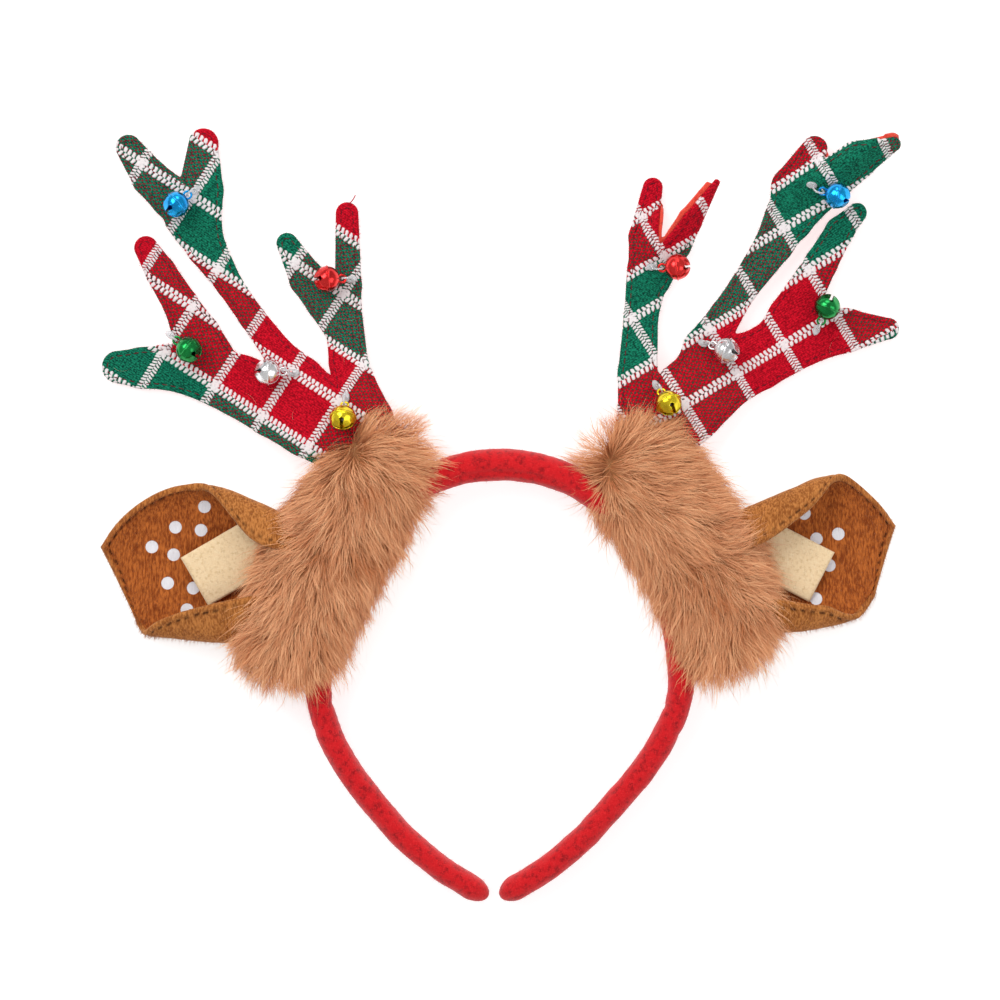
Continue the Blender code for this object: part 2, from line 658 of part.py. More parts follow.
def add_ear(side, owner, material, grow=0.0):
    """A plush ear: a shell whose long edges curl over its front."""
    points = ear_points(side, 10, 13, grow)
    if grow:
        points = np.concatenate([points, 1.10 * points[-1:] - 0.10 * points[-2:-1]])
    rows, columns = points.shape[:2]
    index = np.arange(rows * columns).reshape(rows, columns)
    quads = np.stack(
        [index[:-1, :-1], index[1:, :-1], index[1:, 1:], index[:-1, 1:]], axis=2).reshape(-1, 4)
    name = ("ear_room_" if grow else "ear_") + SIDE_NAME[side]
    mesh = bpy.data.meshes.new(name)
    mesh.from_pydata(points.reshape(-1, 3).tolist(), [], quads.tolist())
    mesh.shade_smooth()
    ear = add_object(name, mesh, owner, material)
    wall = ear.modifiers.new("plush", "SOLIDIFY")
    wall.thickness = EAR_THICK + 2 * grow
    wall.offset = 0.0
    wall.use_even_offset = True


def add_tab(side, owner, material, grow=0.0):
    """A felt strip that lies in the ear and runs into the fur."""
    root, length = ear_place(side)
    away, up, heading, run = TAB_ROWS[side]
    start = np.array([root[0] + side * away * length, root[1] + up * length])
    turn = math.radians(heading)
    way = np.array([-side * math.cos(turn), -math.sin(turn)])
    wide = np.array([-way[1], way[0]])
    stations = np.linspace(0.0, run, 6)
    stations[0] -= grow / length
    stations[-1] += grow / length
    rings = []
    for s in stations:
        middle = start + way * s * length
        share = np.clip(1.0 - (away - s * abs(way[0])) / 1.0, 0.0, 1.0)
        rest = ear_floor(side, share) + EAR_THICK / 2 + TAB_THICK / 2 + 3 * GAP
        z = rest + 0.026 * length + 0.070 * length * s
        half = TAB_WIDTH / 2 + grow
        thick = TAB_THICK / 2 + grow
        corners = [(-half, -thick), (half, -thick), (half, thick), (-half, thick)]
        rings.append([(*(middle + wide * w), z + t) for w, t in corners])
    name = ("tab_room_" if grow else "ear_tab_") + SIDE_NAME[side]
    add_object(name, loft_mesh(name, np.array(rings)), owner, material)


def bell_mesh():
    """A hollow bell with its ring up along Z: two crimped cups, a crossed slot below."""
    shapes = {}
    for key in ("shell", "crimp", "inside", "slot_one", "slot_two"):
        shapes[key] = bmesh.new()
    bmesh.ops.create_uvsphere(shapes["shell"], u_segments=10, v_segments=6, radius=BELL_RADIUS)
    wide = BELL_RADIUS + CRIMP_PROUD
    bmesh.ops.create_cone(
        shapes["crimp"], cap_ends=True, segments=10, radius1=wide, radius2=wide,
        depth=2.4 * CRIMP_PROUD)
    bmesh.ops.create_uvsphere(
        shapes["inside"], u_segments=8, v_segments=4, radius=BELL_RADIUS - 1.4 * BELL_WALL)
    for key, turn in (("slot_one", 0.0), ("slot_two", math.pi / 2)):
        bmesh.ops.create_cube(shapes[key], size=1.0)
        bmesh.ops.scale(
            shapes[key], vec=(SLOT_WIDTH, 1.75 * BELL_RADIUS, BELL_RADIUS),
            verts=shapes[key].verts)
        place = Matrix.Rotation(turn + math.pi / 4, 4, "Z")
        place = Matrix.Translation((0, 0, -0.98 * BELL_RADIUS)) @ place
        bmesh.ops.transform(shapes[key], matrix=place, verts=shapes[key].verts)
    scratch = new_collection("bell_scratch", hidden=True)
    made = {}
    for key, shape in shapes.items():
        mesh = bpy.data.meshes.new("bell_" + key)
        shape.to_mesh(mesh)
        shape.free()
        made[key] = add_object("bell_" + key, mesh, scratch)
    bpy.ops.mesh.primitive_torus_add(
        major_segments=8, minor_segments=4, major_radius=RING_RADIUS, minor_radius=RING_WIRE)
    made["ring"] = bpy.context.active_object
    made["ring"].data.transform(
        Matrix.Translation((0, 0, ring_distance())) @ Matrix.Rotation(math.pi / 2, 4, "Y"))
    for operation, key in (
            ("UNION", "crimp"), ("UNION", "ring"), ("DIFFERENCE", "inside"),
            ("DIFFERENCE", "slot_one"), ("DIFFERENCE", "slot_two")):
        step = made["shell"].modifiers.new(key, "BOOLEAN")
        step.operation = operation
        step.solver = "EXACT"
        step.object = made[key]
    mesh = evaluated_mesh(made.pop("shell"))
    mesh.name = "bell"
    mesh.materials.clear()
    for shape in made.values():
        bpy.data.objects.remove(shape)
    bpy.data.collections.remove(scratch)
    return mesh


def ring_distance():
    """From a bell's centre to its ring's centre."""
    return BELL_RADIUS + 0.62 * RING_RADIUS


def bell_frame(side, row):
    """Seat of a bell on its antler: the centre, and the ring's way, the side and the
    antler's normal there."""
    _, away, up, heading, tip = row
    stand = 2.2 * GAP + CLOTH_THICK + BELL_RADIUS + CRIMP_PROUD
    x, y = np.array(away), np.array(up)
    root, reach = antler_root(side)
    wanted = np.array([root[0] + side * away * reach, root[1] + up * reach])
    for _ in range(4):
        spot = antler_surface(side, x, y, stand)
        x = x + side * (wanted[0] - spot[0]) / reach
        y = y + (wanted[1] - spot[1]) / reach
    centre = Vector(antler_surface(side, x, y, stand))
    normal = (centre - Vector(antler_surface(side, x, y, 0.0))).normalized()
    turn = math.radians(heading)
    way = Vector((side * math.cos(turn), math.sin(turn), 0.0))
    way = (way - normal * way.dot(normal)).normalized()
    return centre, way, normal.cross(way), normal, math.radians(tip)


def rest_height(side, centre, way, normal, out):
    """How far along the normal a foot stands that rests on the woven front, this far out
    from a bell's centre."""
    root, reach = antler_root(side)
    spot = centre + way * out
    x = np.array(side * (spot.x - root[0]) / reach)
    y = np.array((spot.y - root[1]) / reach)
    top = Vector(antler_surface(side, x, y, GAP / 2 + CLOTH_THICK))
    return (top - centre).dot(normal) + 2 * GAP


def add_bell(side, row, parts, shell, finishes):
    """One bell, the pellet that lies in it and the clear pin that holds its ring."""
    centre, way, flank, normal, tip = bell_frame(side, row)
    ring_way = way * math.cos(tip) - normal * math.sin(tip)
    ring_up = normal * math.cos(tip) + way * math.sin(tip)
    place = Matrix((ring_up, flank, ring_way)).transposed().to_4x4()
    place.translation = centre
    label = "%s_%s" % (SIDE_NAME[side], row[0])
    bell = add_object("bell_" + label, shell, parts, finishes[row[0]])
    bell.matrix_world = place

    pellet = bmesh.new()
    bmesh.ops.create_uvsphere(pellet, u_segments=6, v_segments=4, radius=PELLET_RADIUS)
    drop = (BELL_RADIUS - 1.4 * BELL_WALL) * math.cos(math.pi / 6) - PELLET_RADIUS - GAP
    bmesh.ops.translate(pellet, vec=centre - normal * drop, verts=pellet.verts)
    mesh = bpy.data.meshes.new("pellet_" + label)
    pellet.to_mesh(mesh)
    pellet.free()
    add_object(mesh.name, mesh, parts, finishes["pellet"])

    hold = ring_distance() * math.cos(tip)
    crest = RING_RADIUS + 3.2 * RING_WIRE - ring_distance() * math.sin(tip)
    far = hold + RING_RADIUS + RING_WIRE + 1.9 * PIN_WIRE + 2 * GAP
    near_foot = rest_height(side, centre, way, normal, hold)
    foot = rest_height(side, centre, way, normal, far)
    rail = bpy.data.curves.new("pin_" + label, "CURVE")
    rail.dimensions = "3D"
    rail.bevel_depth = PIN_WIRE
    rail.bevel_resolution = 0
    rail.use_fill_caps = True
    line = rail.splines.new("POLY")
    route = (
        (hold, near_foot), (hold, crest - 1.5 * PIN_WIRE), (hold + 1.5 * PIN_WIRE, crest),
        (far - 1.5 * PIN_WIRE, crest), (far, crest - 1.5 * PIN_WIRE), (far, foot))
    line.points.add(len(route) - 1)
    for point, (out, up) in zip(line.points, route):
        point.co = (*(centre + way * out + normal * up), 1.0)
    pin = add_object("pin_" + label, rail, parts)
    mesh = evaluated_mesh(pin)
    merged = bmesh.new()
    merged.from_mesh(mesh)
    bmesh.ops.remove_doubles(merged, verts=merged.verts, dist=PIN_WIRE * 0.05)
    bmesh.ops.recalc_face_normals(merged, faces=merged.faces)
    merged.to_mesh(mesh)
    merged.free()
    mesh.materials.clear()
    pin = add_object("pin_" + label, mesh, parts, finishes["clear"])

    paddle = bmesh.new()
    bmesh.ops.create_cone(
        paddle, cap_ends=True, segments=10, radius1=PADDLE_RADIUS, radius2=PADDLE_RADIUS,
        depth=1.6 * PIN_WIRE)
    bmesh.ops.scale(paddle, vec=(1.0, 0.62, 1.0), verts=paddle.verts)
    flat = Matrix((way, flank, normal)).transposed().to_4x4()
    flat.translation = centre + way * (far + 0.2 * PADDLE_RADIUS) + normal * (
        foot + 0.8 * PIN_WIRE + 0.1 * PIN_WIRE)
    bmesh.ops.transform(paddle, matrix=flat, verts=paddle.verts)
    mesh = bpy.data.meshes.new("paddle_" + label)
    paddle.to_mesh(mesh)
    paddle.free()
    holder = new_collection("paddle_" + label, hidden=True)
    add_object("paddle_" + label, mesh, holder)
    cut_or_join(pin, "UNION", holder)


def build():
    """The whole headband."""
    for item in list(bpy.data.objects):
        bpy.data.objects.remove(item)
    parts = new_collection("reindeer_antler_headband")
    finishes = {
        name: finish_material(name, roughness)
        for name, roughness in (
            ("band_felt", 0.95), ("fur", 0.85), ("plaid", 0.9), ("back_felt", 0.95),
            ("plush", 0.8), ("cream_felt", 0.95), ("clear", 0.15))}
    for name in ("blue", "red", "green", "silver", "gold", "pellet"):
        finishes[name] = finish_material(name, 0.25, 1.0)
    add_object("felt_band", band_mesh("felt_band"), parts, finishes["band_felt"])
    shell = bell_mesh()
    for side in (LEFT, RIGHT):
        add_sleeve(side, parts, finishes["fur"])
        add_antler(side, parts, finishes["plaid"], finishes["back_felt"])
        add_ear(side, parts, finishes["plush"])
        add_tab(side, parts, finishes["cream_felt"])
        for row in BELLS[side]:
            add_bell(side, row, parts, shell, finishes)


build()
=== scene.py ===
import math

import bmesh
import bpy
import numpy as np
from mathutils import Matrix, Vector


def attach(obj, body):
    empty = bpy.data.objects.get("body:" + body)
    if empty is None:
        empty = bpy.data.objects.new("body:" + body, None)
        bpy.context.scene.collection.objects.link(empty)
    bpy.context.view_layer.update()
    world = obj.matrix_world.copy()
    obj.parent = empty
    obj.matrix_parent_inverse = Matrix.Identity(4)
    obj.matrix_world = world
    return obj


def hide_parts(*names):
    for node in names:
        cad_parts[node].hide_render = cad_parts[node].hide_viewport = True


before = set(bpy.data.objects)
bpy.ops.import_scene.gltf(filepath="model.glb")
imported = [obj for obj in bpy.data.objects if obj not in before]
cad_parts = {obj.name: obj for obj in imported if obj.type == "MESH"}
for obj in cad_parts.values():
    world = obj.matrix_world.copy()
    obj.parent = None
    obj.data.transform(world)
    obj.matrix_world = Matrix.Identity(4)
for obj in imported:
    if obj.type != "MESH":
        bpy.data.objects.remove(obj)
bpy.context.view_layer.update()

# The photograph: the headband lies on its back on a white sweep and the camera looks
# straight down at it. One pixel of the photo is 0.37 mm at the headband, and the photo's
# middle column and row 516 meet over the model's origin.
PIXEL = 0.00037
ORIGIN_COLUMN, ORIGIN_ROW = 500, 516
PHOTO_PIXELS = 1000
CAMERA_HEIGHT = 1.2
SUBJECT_HEIGHT = 0.012


def from_photo(column, row):
    """Place over the table, in metres, of a pixel of the photo."""
    return np.array([(column - ORIGIN_COLUMN) * PIXEL, (ORIGIN_ROW - row) * PIXEL])


camera = bpy.data.objects.new("camera", bpy.data.cameras.new("camera"))
middle_x, middle_y = from_photo(PHOTO_PIXELS / 2, PHOTO_PIXELS / 2)
camera.location = (middle_x, middle_y, CAMERA_HEIGHT)
camera.data.sensor_width = 36.0
camera.data.lens = 36.0 * (CAMERA_HEIGHT - SUBJECT_HEIGHT) / (PHOTO_PIXELS * PIXEL)
bpy.context.scene.collection.objects.link(camera)
bpy.context.scene.camera = camera
bpy.context.scene.view_settings.view_transform = "Standard"

# The studio: two wide soft boxes above the table and a pale room that fills the shadows.
# Columns: name, place, aim, size, watts
SOFT_BOXES = (
    ("key_box", (-0.75, 0.70, 1.15), (0.0, 0.0, 0.0), 0.90, 10.5),
    ("fill_box", (0.95, -0.25, 1.00), (0.0, 0.0, 0.0), 0.90, 4.5),
    ("back_box", (0.10, 1.30, 0.75), (0.0, 0.0, 0.0), 0.70, 4.5),
)
ROOM_COLOUR = (1.0, 0.99, 0.98, 1.0)
ROOM_STRENGTH = 0.55
for name, place, aim, size, watts in SOFT_BOXES:
    box = bpy.data.objects.new(name, bpy.data.lights.new(name, "AREA"))
    box.data.energy = watts
    box.data.size = size
    box.location = place
    toward = Vector(aim) - Vector(place)
    box.rotation_euler = toward.to_track_quat("-Z", "Y").to_euler()
    bpy.context.scene.collection.objects.link(box)
room = bpy.data.worlds.new("pale_room")
room.use_nodes = True
room.node_tree.nodes["Background"].inputs["Color"].default_value = ROOM_COLOUR
room.node_tree.nodes["Background"].inputs["Strength"].default_value = ROOM_STRENGTH
bpy.context.scene.world = room


# The table: plain white card, far wider than the picture and lit a little from below like
# a product photographer's sweep, so that shadows and coloured bounce light stay faint.
class Value:
    """A number, vector or colour in a material's nodes. Arithmetic on it adds the Math nodes
    that work it out, and node() adds any other node to the same tree."""

    def __init__(self, tree, socket=None):
        self.tree = tree
        self.socket = socket

    def node(self, kind, settings=None, inputs=None, output=0):
        """Adds a node: its settings are set first, then its sockets get values or links."""
        made = self.tree.nodes.new(kind)
        for key, setting in (settings or {}).items():
            setattr(made, key, setting)
        for key, given in (inputs or {}).items():
            if isinstance(given, Value):
                self.tree.links.new(given.socket, made.inputs[key])
            else:
                made.inputs[key].default_value = given
        return Value(self.tree, made.outputs[output])

    def maths(self, operation, *values):
        """One Math node on these values or numbers."""
        return self.node("ShaderNodeMath", {"operation": operation}, dict(enumerate(values)))

    def __add__(self, other):
        return self.maths("ADD", self, other)

    __radd__ = __add__

    def __sub__(self, other):
        return self.maths("SUBTRACT", self, other)

    def __rsub__(self, other):
        return self.maths("SUBTRACT", other, self)

    def __mul__(self, other):
        return self.maths("MULTIPLY", self, other)

    __rmul__ = __mul__

    def __truediv__(self, other):
        return self.maths("DIVIDE", self, other)

    def __pow__(self, other):
        return self.maths("POWER", self, other)

    def __mod__(self, other):
        return self.maths("FLOORED_MODULO", self, other)

    def __gt__(self, other):
        return self.maths("GREATER_THAN", self, other)

    def __lt__(self, other):
        return self.maths("LESS_THAN", self, other)

    def __abs__(self):
        return self.maths("ABSOLUTE", self)

    def clip(self, low, high):
        """The value kept between two numbers, as numpy's own clip does to an array."""
        return self.maths("MINIMUM", self.maths("MAXIMUM", self, low), high)


def as_share(value):
    """An array or shader value kept from 0 to 1."""
    return value.clip(0.0, 1.0)


def smooth_ramp(value, low, high):
    """0 below low, 1 above high and a soft S between them, for arrays and shader values."""
    share = as_share((value - low) / (high - low))
    return share * share * (3.0 - 2.0 * share)


def blend(share, one, other):
    """The colour that goes from one to the other as share goes from 0 to 1. At least one of
    the three comes from a node."""
    given = next(part for part in (share, one, other) if isinstance(part, Value))
    return given.node(
        "ShaderNodeMix", {"data_type": "RGBA"}, {0: share, 6: one, 7: other}, output=2)


def grain(start, size, detail=3.0, stretch=(1.0, 1.0, 1.0)):
    """Soft noise from 0 to 1 over the object's own space, in lumps of this size in metres,
    drawn out by stretch."""
    place = start.node("ShaderNodeTexCoord", output=3)
    drawn_out = start.node(
        "ShaderNodeMapping", {}, {"Vector": place, "Scale": [1.0 / part for part in stretch]})
    return start.node(
        "ShaderNodeTexNoise", {}, {"Vector": drawn_out, "Scale": 1.0 / size, "Detail": detail})


def mark(start, name):
    """The number that each point of the piece carries under this name."""
    return start.node("ShaderNodeAttribute", {"attribute_name": name}, output=2)


def new_finish(name, **constants):
    """A material, its shader and the first value of its nodes; spaces in a socket's name are
    written as underscores."""
    made = bpy.data.materials.new(name)
    made.use_nodes = True
    shader = made.node_tree.nodes["Principled BSDF"]
    for key, constant in constants.items():
        shader.inputs[key.replace("_", " ")].default_value = constant
    return made, shader, Value(made.node_tree)


def feed(shader, **values):
    """Links values to the shader's sockets."""
    for key, value in values.items():
        value.tree.links.new(value.socket, shader.inputs[key.replace("_", " ")])


def raised(height, depth):
    """A normal that follows a height from 0 to 1, this deep in metres."""
    return height.node("ShaderNodeBump", {}, {"Height": height, "Strength": 1.0, "Distance": depth})


def mottled(name, size, dark, bright, detail=3.0, depth=0.0, **constants):
    """A material whose colour wanders between two tones in lumps of this size, raised by
    this depth. Returns the material, its shader and the wandering number from 0 to 1."""
    made, shader, start = new_finish(name, **constants)
    tone = grain(start, size, detail)
    feed(shader, Base_Color=blend(tone, dark, bright))
    if depth:
        feed(shader, Normal=raised(tone, depth))
    return made, shader, tone


def grid_faces(rows, columns, ring=False, loop=False):
    """Quads between neighbouring rows and columns of a grid; ring joins the last column to
    the first, and loop the last row to the first."""
    index = np.arange(rows * columns).reshape(rows, columns)
    if ring:
        index = np.concatenate([index, index[:, :1]], axis=1)
    if loop:
        index = np.concatenate([index, index[:1]])
    corners = [index[:-1, :-1], index[1:, :-1], index[1:, 1:], index[:-1, 1:]]
    return np.stack(corners, axis=-1).reshape(-1, 4)


def add_piece(name, points, faces, finish, cloth=None, marks=None, weld=False, outward=False):
    """An object at the origin with these points and faces, all of them alike in corners.
    cloth is a UV pair for each point and marks holds numbers for each point. weld merges
    the points that meet at a pole or a seam, and outward turns every face to the outside."""
    points = np.asarray(points, float).reshape(-1, 3)
    corners = faces.shape[1]
    mesh = bpy.data.meshes.new(name)
    mesh.vertices.add(len(points))
    mesh.vertices.foreach_set("co", points.ravel())
    mesh.loops.add(faces.size)
    mesh.loops.foreach_set("vertex_index", faces.ravel())
    mesh.polygons.add(len(faces))
    mesh.polygons.foreach_set("loop_start", np.arange(0, faces.size, corners))
    mesh.update(calc_edges=True)
    if cloth is not None:
        layer = mesh.uv_layers.new(name="cloth")
        layer.data.foreach_set("uv", np.asarray(cloth, float)[faces.ravel()].ravel())
    for key, numbers in (marks or {}).items():
        layer = mesh.attributes.new(key, "FLOAT", "POINT")
        layer.data.foreach_set("value", np.asarray(numbers, float).ravel())
    if weld or outward:
        skin = bmesh.new()
        skin.from_mesh(mesh)
        if weld:
            bmesh.ops.remove_doubles(skin, verts=skin.verts, dist=1e-7)
        if outward:
            bmesh.ops.recalc_face_normals(skin, faces=skin.faces)
        skin.to_mesh(mesh)
        skin.free()
    mesh.shade_smooth()
    mesh.materials.append(finish)
    made = bpy.data.objects.new(name, mesh)
    bpy.context.scene.collection.objects.link(made)
    return made


TABLE_SIZE = 6.0
card, _, _ = mottled(
    "white_card", 0.05, (0.46, 0.46, 0.46, 1.0), (0.48, 0.48, 0.48, 1.0), Roughness=0.9,
    Emission_Color=(1.0, 1.0, 1.0, 1.0), Emission_Strength=0.72)
table_edge = np.linspace(-TABLE_SIZE / 2, TABLE_SIZE / 2, 3)
table_x, table_y = np.meshgrid(table_edge, table_edge, indexing="ij")
table_points = np.stack([table_x, table_y, np.zeros_like(table_x)], axis=-1)
table = add_piece("white_table", table_points, grid_faces(3, 3), card)

# The band: a padded alice band, a foam tube on a spring strip covered in bright red wool
# felt that is drawn tight, with a faint crease inside the crown and its seam underneath.
BAND_SPAN = 0.1340
BAND_RISE = 0.1605
BAND_THICK = 0.0097
BAND_DEPTH = 0.0130
CROWN_Y = 0.0190
TIP_SHIFT = -0.0022
CREASE_TURN = math.radians(118.0)
CREASE_DEPTH = 0.00085
KINK_DEPTH = 0.00045
BAND_FLOOR_GAP = 0.0001
FLOOR_CLEARANCE = 0.0002      # hairs stay this far above the table
SLEEVE_LIFT = 0.0124
LEFT, RIGHT = -1, 1
SIDE_NAME = {LEFT: "left", RIGHT: "right"}
# One half of the centre line. Columns: across, down and thickness, as shares
BAND_ROWS = (
    (0.000, 0.000, 1.22), (0.376, 0.033, 1.16), (0.575, 0.087, 1.10), (0.740, 0.161, 1.05),
    (0.867, 0.241, 1.00), (0.945, 0.334, 1.00), (0.989, 0.433, 1.00), (1.000, 0.526, 1.00),
    (0.925, 0.627, 0.98), (0.800, 0.714, 0.98), (0.672, 0.780, 0.97), (0.500, 0.861, 0.97),
    (0.300, 0.932, 0.96), (0.033, 1.000, 0.95),
)
FELT_FUZZ_COUNT = 8000
FELT_FUZZ_LENGTH = 0.0010
FELT_FUZZ_WIDTH = 0.00005


def hump(value, middle, width):
    """1 at the middle, falling to nothing over this width to either side as a bell curve."""
    return np.exp(-((value - middle) / width) ** 2)


def even_turns(count):
    """Angles of even steps once round a circle."""
    return np.linspace(0.0, 2 * math.pi, count, endpoint=False)


def chords(rows):
    """Chord length from the first row to each row, over the first two columns."""
    steps = np.linalg.norm(np.diff(rows[:, :2], axis=0), axis=1)
    return np.concatenate([[0.0], np.cumsum(steps)])


def smooth_curve(rows, at):
    """Catmull-Rom curve through the rows, read at these chord lengths, every column."""
    chord = chords(rows)
    slope = np.gradient(rows, chord, axis=0)
    cell = np.clip(np.searchsorted(chord, at, side="right") - 1, 0, len(rows) - 2)
    width = (chord[cell + 1] - chord[cell])[:, None]
    t = (at[:, None] - chord[cell][:, None]) / width
    return (
        (2 * t**3 - 3 * t**2 + 1) * rows[cell] + (t**3 - 2 * t**2 + t) * width * slope[cell]
        + (3 * t**2 - 2 * t**3) * rows[cell + 1] + (t**3 - t**2) * width * slope[cell + 1])


def band_rows():
    """The whole centre line from the left tip to the right: X, Y and thickness."""
    half = np.array(BAND_ROWS)
    rows = []
    for side, table in ((LEFT, half[::-1]), (RIGHT, half[1:])):
        lean = TIP_SHIFT * as_share((table[:, 1] - 0.5) / 0.3)
        x = side * table[:, 0] * BAND_SPAN / 2 + lean
        y = CROWN_Y - table[:, 1] * BAND_RISE
        rows.append(np.stack([x, y, table[:, 2] * BAND_THICK], axis=1))
    return np.concatenate(rows)


def band_stations(shares):
    """Centre points, outward directions and thickness at these shares of the half band,
    negative on the left and positive on the right. The tips lie on the table and the
    sleeves lift the crown."""
    rows = band_rows()
    total = chords(rows)[-1]
    at = total / 2 * (1.0 + np.asarray(shares, float))
    here = smooth_curve(rows, np.clip(at, 0.0, total))
    ahead = smooth_curve(rows, np.clip(at + total * 1e-3, 0.0, total))
    behind = smooth_curve(rows, np.clip(at - total * 1e-3, 0.0, total))
    along = ahead[:, :2] - behind[:, :2]
    along /= np.linalg.norm(along, axis=1)[:, None]
    tip_z = BAND_DEPTH / 2 + BAND_FLOOR_GAP
    rise = (here[:, 1] - (CROWN_Y - BAND_RISE)) / BAND_RISE
    z = tip_z + (SLEEVE_LIFT - tip_z) * np.minimum(rise / 0.85, 1.0)
    centre = np.stack([here[:, 0], here[:, 1], z], axis=1)
    outward = np.stack([-along[:, 1], along[:, 0], np.zeros(len(at))], axis=1)
    return centre, outward, here[:, 2]


def lumps(points, size, seed):
    """Smooth unevenness from about -1 to 1: the mean of eight sine waves that run in random
    directions through space, with wavelengths near this size."""
    draw = np.random.default_rng(seed)
    ways = draw.normal(size=(8, 3))
    ways /= np.linalg.norm(ways, axis=1)[:, None]
    waves = ways * (2 * math.pi / size / draw.uniform(0.7, 1.4, (8, 1)))
    return np.sin(points @ waves.T + draw.uniform(0, 2 * math.pi, 8)).mean(axis=-1) * 1.8


def band_skin(shares, turn):
    """Points and outward normals of the felt at shares of the half band and at turns round
    its section: a squarish oval round the centre line, rounded off towards each tip, with
    soft lumps, small kinks where the felt is gathered and a crease inside the crown."""
    centre, outward, thick = band_stations(shares)
    nose = BAND_THICK * 0.8 / (chords(band_rows())[-1] / 2)
    end = as_share((np.abs(shares) - (1.0 - nose)) / nose)
    scale = np.sqrt(np.maximum(1.0 - end**2, 0.0))
    reach = np.sign(np.cos(turn)) * np.abs(np.cos(turn)) ** 0.88
    lift = np.sign(np.sin(turn)) * np.abs(np.sin(turn)) ** 0.88
    half = (thick / 2 * scale)[..., None]
    flat = centre + outward * half * reach[..., None]
    flat[..., 2] += BAND_DEPTH / 2 * scale * lift
    normal = outward * np.cos(turn)[..., None]
    normal[..., 2] += np.sin(turn)
    crease = hump(turn, CREASE_TURN, 0.16)
    crease *= as_share(1.2 - np.abs(shares) / 0.11)
    kink = hump(np.abs(shares), 0.565, 0.008) * as_share(-np.cos(turn))
    kink += 0.6 * hump(np.abs(shares), 0.60, 0.006) * as_share(np.cos(turn))
    relief = 0.00018 * lumps(flat, 0.011, 3) + 0.00009 * lumps(flat, 0.0035, 4)
    relief -= CREASE_DEPTH * crease + KINK_DEPTH * kink
    low = as_share(1.3 - flat[..., 2] / 0.0018)
    relief = relief * (1.0 - low) * scale
    return flat + normal * relief[..., None], normal


def ribbons(path, across, width):
    """Flat tapering hairs: path holds the joints of each hair and across its flat side. Each
    joint but the last has two points, half the width to either side, and the last is the tip.
    Returns the points, the triangles and each point's share of the way to the tip."""
    hairs, joints = path.shape[:2]
    share = np.linspace(0.0, 1.0, joints)
    half = across * width[:, None] / 2
    taper = (1.0 - 0.75 * share[:-1] ** 2.0)[None, :, None]
    left = path[:, :-1] - half[:, None, :] * taper
    right = path[:, :-1] + half[:, None, :] * taper
    pairs = np.stack([left, right], axis=2).reshape(hairs, -1, 3)
    points = np.concatenate([pairs, path[:, -1:]], axis=1)
    step = 2 * np.arange(joints - 2)[:, None]
    lower = np.array([[0, 1, 3]]) + step
    upper = np.array([[0, 3, 2]]) + step
    last = np.array([[2 * joints - 4, 2 * joints - 3, 2 * joints - 2]])
    one = np.concatenate([lower, upper, last])
    faces = one[None] + (np.arange(hairs) * points.shape[1])[:, None, None]
    along = np.append(np.repeat(share[:-1], 2), 1.0)
    return points.reshape(-1, 3), faces.reshape(-1, 3), np.tile(along, hairs)


def unit(vectors):
    """The same directions with length 1."""
    return vectors / np.maximum(np.linalg.norm(vectors, axis=-1, keepdims=True), 1e-12)


def short_fuzz(roots, normals, lean, length, width, seed):
    """Short bent hairs of three joints that stand on a surface: each starts along its normal,
    leans this way and wanders a little at random."""
    draw = np.random.default_rng(seed)
    count = len(roots)
    way = unit(normals + lean + draw.normal(0.0, 0.45, (count, 3)))
    bend = draw.normal(0.0, 0.55, (count, 3)) + lean
    s = np.linspace(0.0, 1.0, 3)[None, :, None]
    reach = (length * draw.uniform(0.5, 1.3, count))[:, None, None]
    path = roots[:, None] + reach * (way[:, None] * s + bend[:, None] * s * s * 0.5)
    across = unit(np.cross(way, draw.normal(size=(count, 3))))
    return ribbons(path, across, np.full(count, width))


def felt_finish(name, dark, middle, light, lump=0.0022):
    """Pressed wool felt: three close tones in cloudy patches, a fine crossed fibre grain
    that also raises the surface, and a soft sheen from the loose ends."""
    made, shader, start = new_finish(
        name, Roughness=0.95, Specular_IOR_Level=0.15, Sheen_Weight=0.25, Sheen_Roughness=0.5)
    cloud = grain(start, lump, 4.0)
    fibre = grain(start, 0.00035, 2.0, (4.0, 0.6, 1.0))
    crossed = grain(start, 0.00038, 2.0, (0.6, 4.0, 1.0))
    pile = (fibre + crossed) / 2.0
    body = blend(smooth_ramp(cloud, 0.30, 0.55), dark, middle)
    shown = blend(smooth_ramp(pile, 0.45, 0.68), body, light)
    feed(shader, Base_Color=shown, Normal=raised(pile + cloud * 0.6, 0.00022))
    return made


def seat(piece, node=None):
    """Fixes a piece to the part's one body. It takes the place of the solid that is named, and hides
    that solid."""
    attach(piece, "root")
    if node:
        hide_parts(node)


band_felt = felt_finish(
    "red_band_felt", (0.300, 0.003, 0.007, 1), (0.620, 0.007, 0.012, 1), (0.740, 0.020, 0.024, 1))
BAND_COLUMNS = 44
band_shares = np.linspace(-1.0, 1.0, 421)
band_nose = 0.0018 * np.sin(np.linspace(0, math.pi / 2, 9)[1:])
band_shares = np.sort(np.concatenate([band_shares, 1.0 - band_nose, band_nose - 1.0]))
band_turns = even_turns(BAND_COLUMNS)
band_points, _ = band_skin(
    np.repeat(band_shares, BAND_COLUMNS), np.tile(band_turns, len(band_shares)))
band = add_piece(
    "felt_band_cover", band_points, grid_faces(len(band_shares), BAND_COLUMNS, ring=True)[:, ::-1],
    band_felt, weld=True)
seat(band, "felt_band")

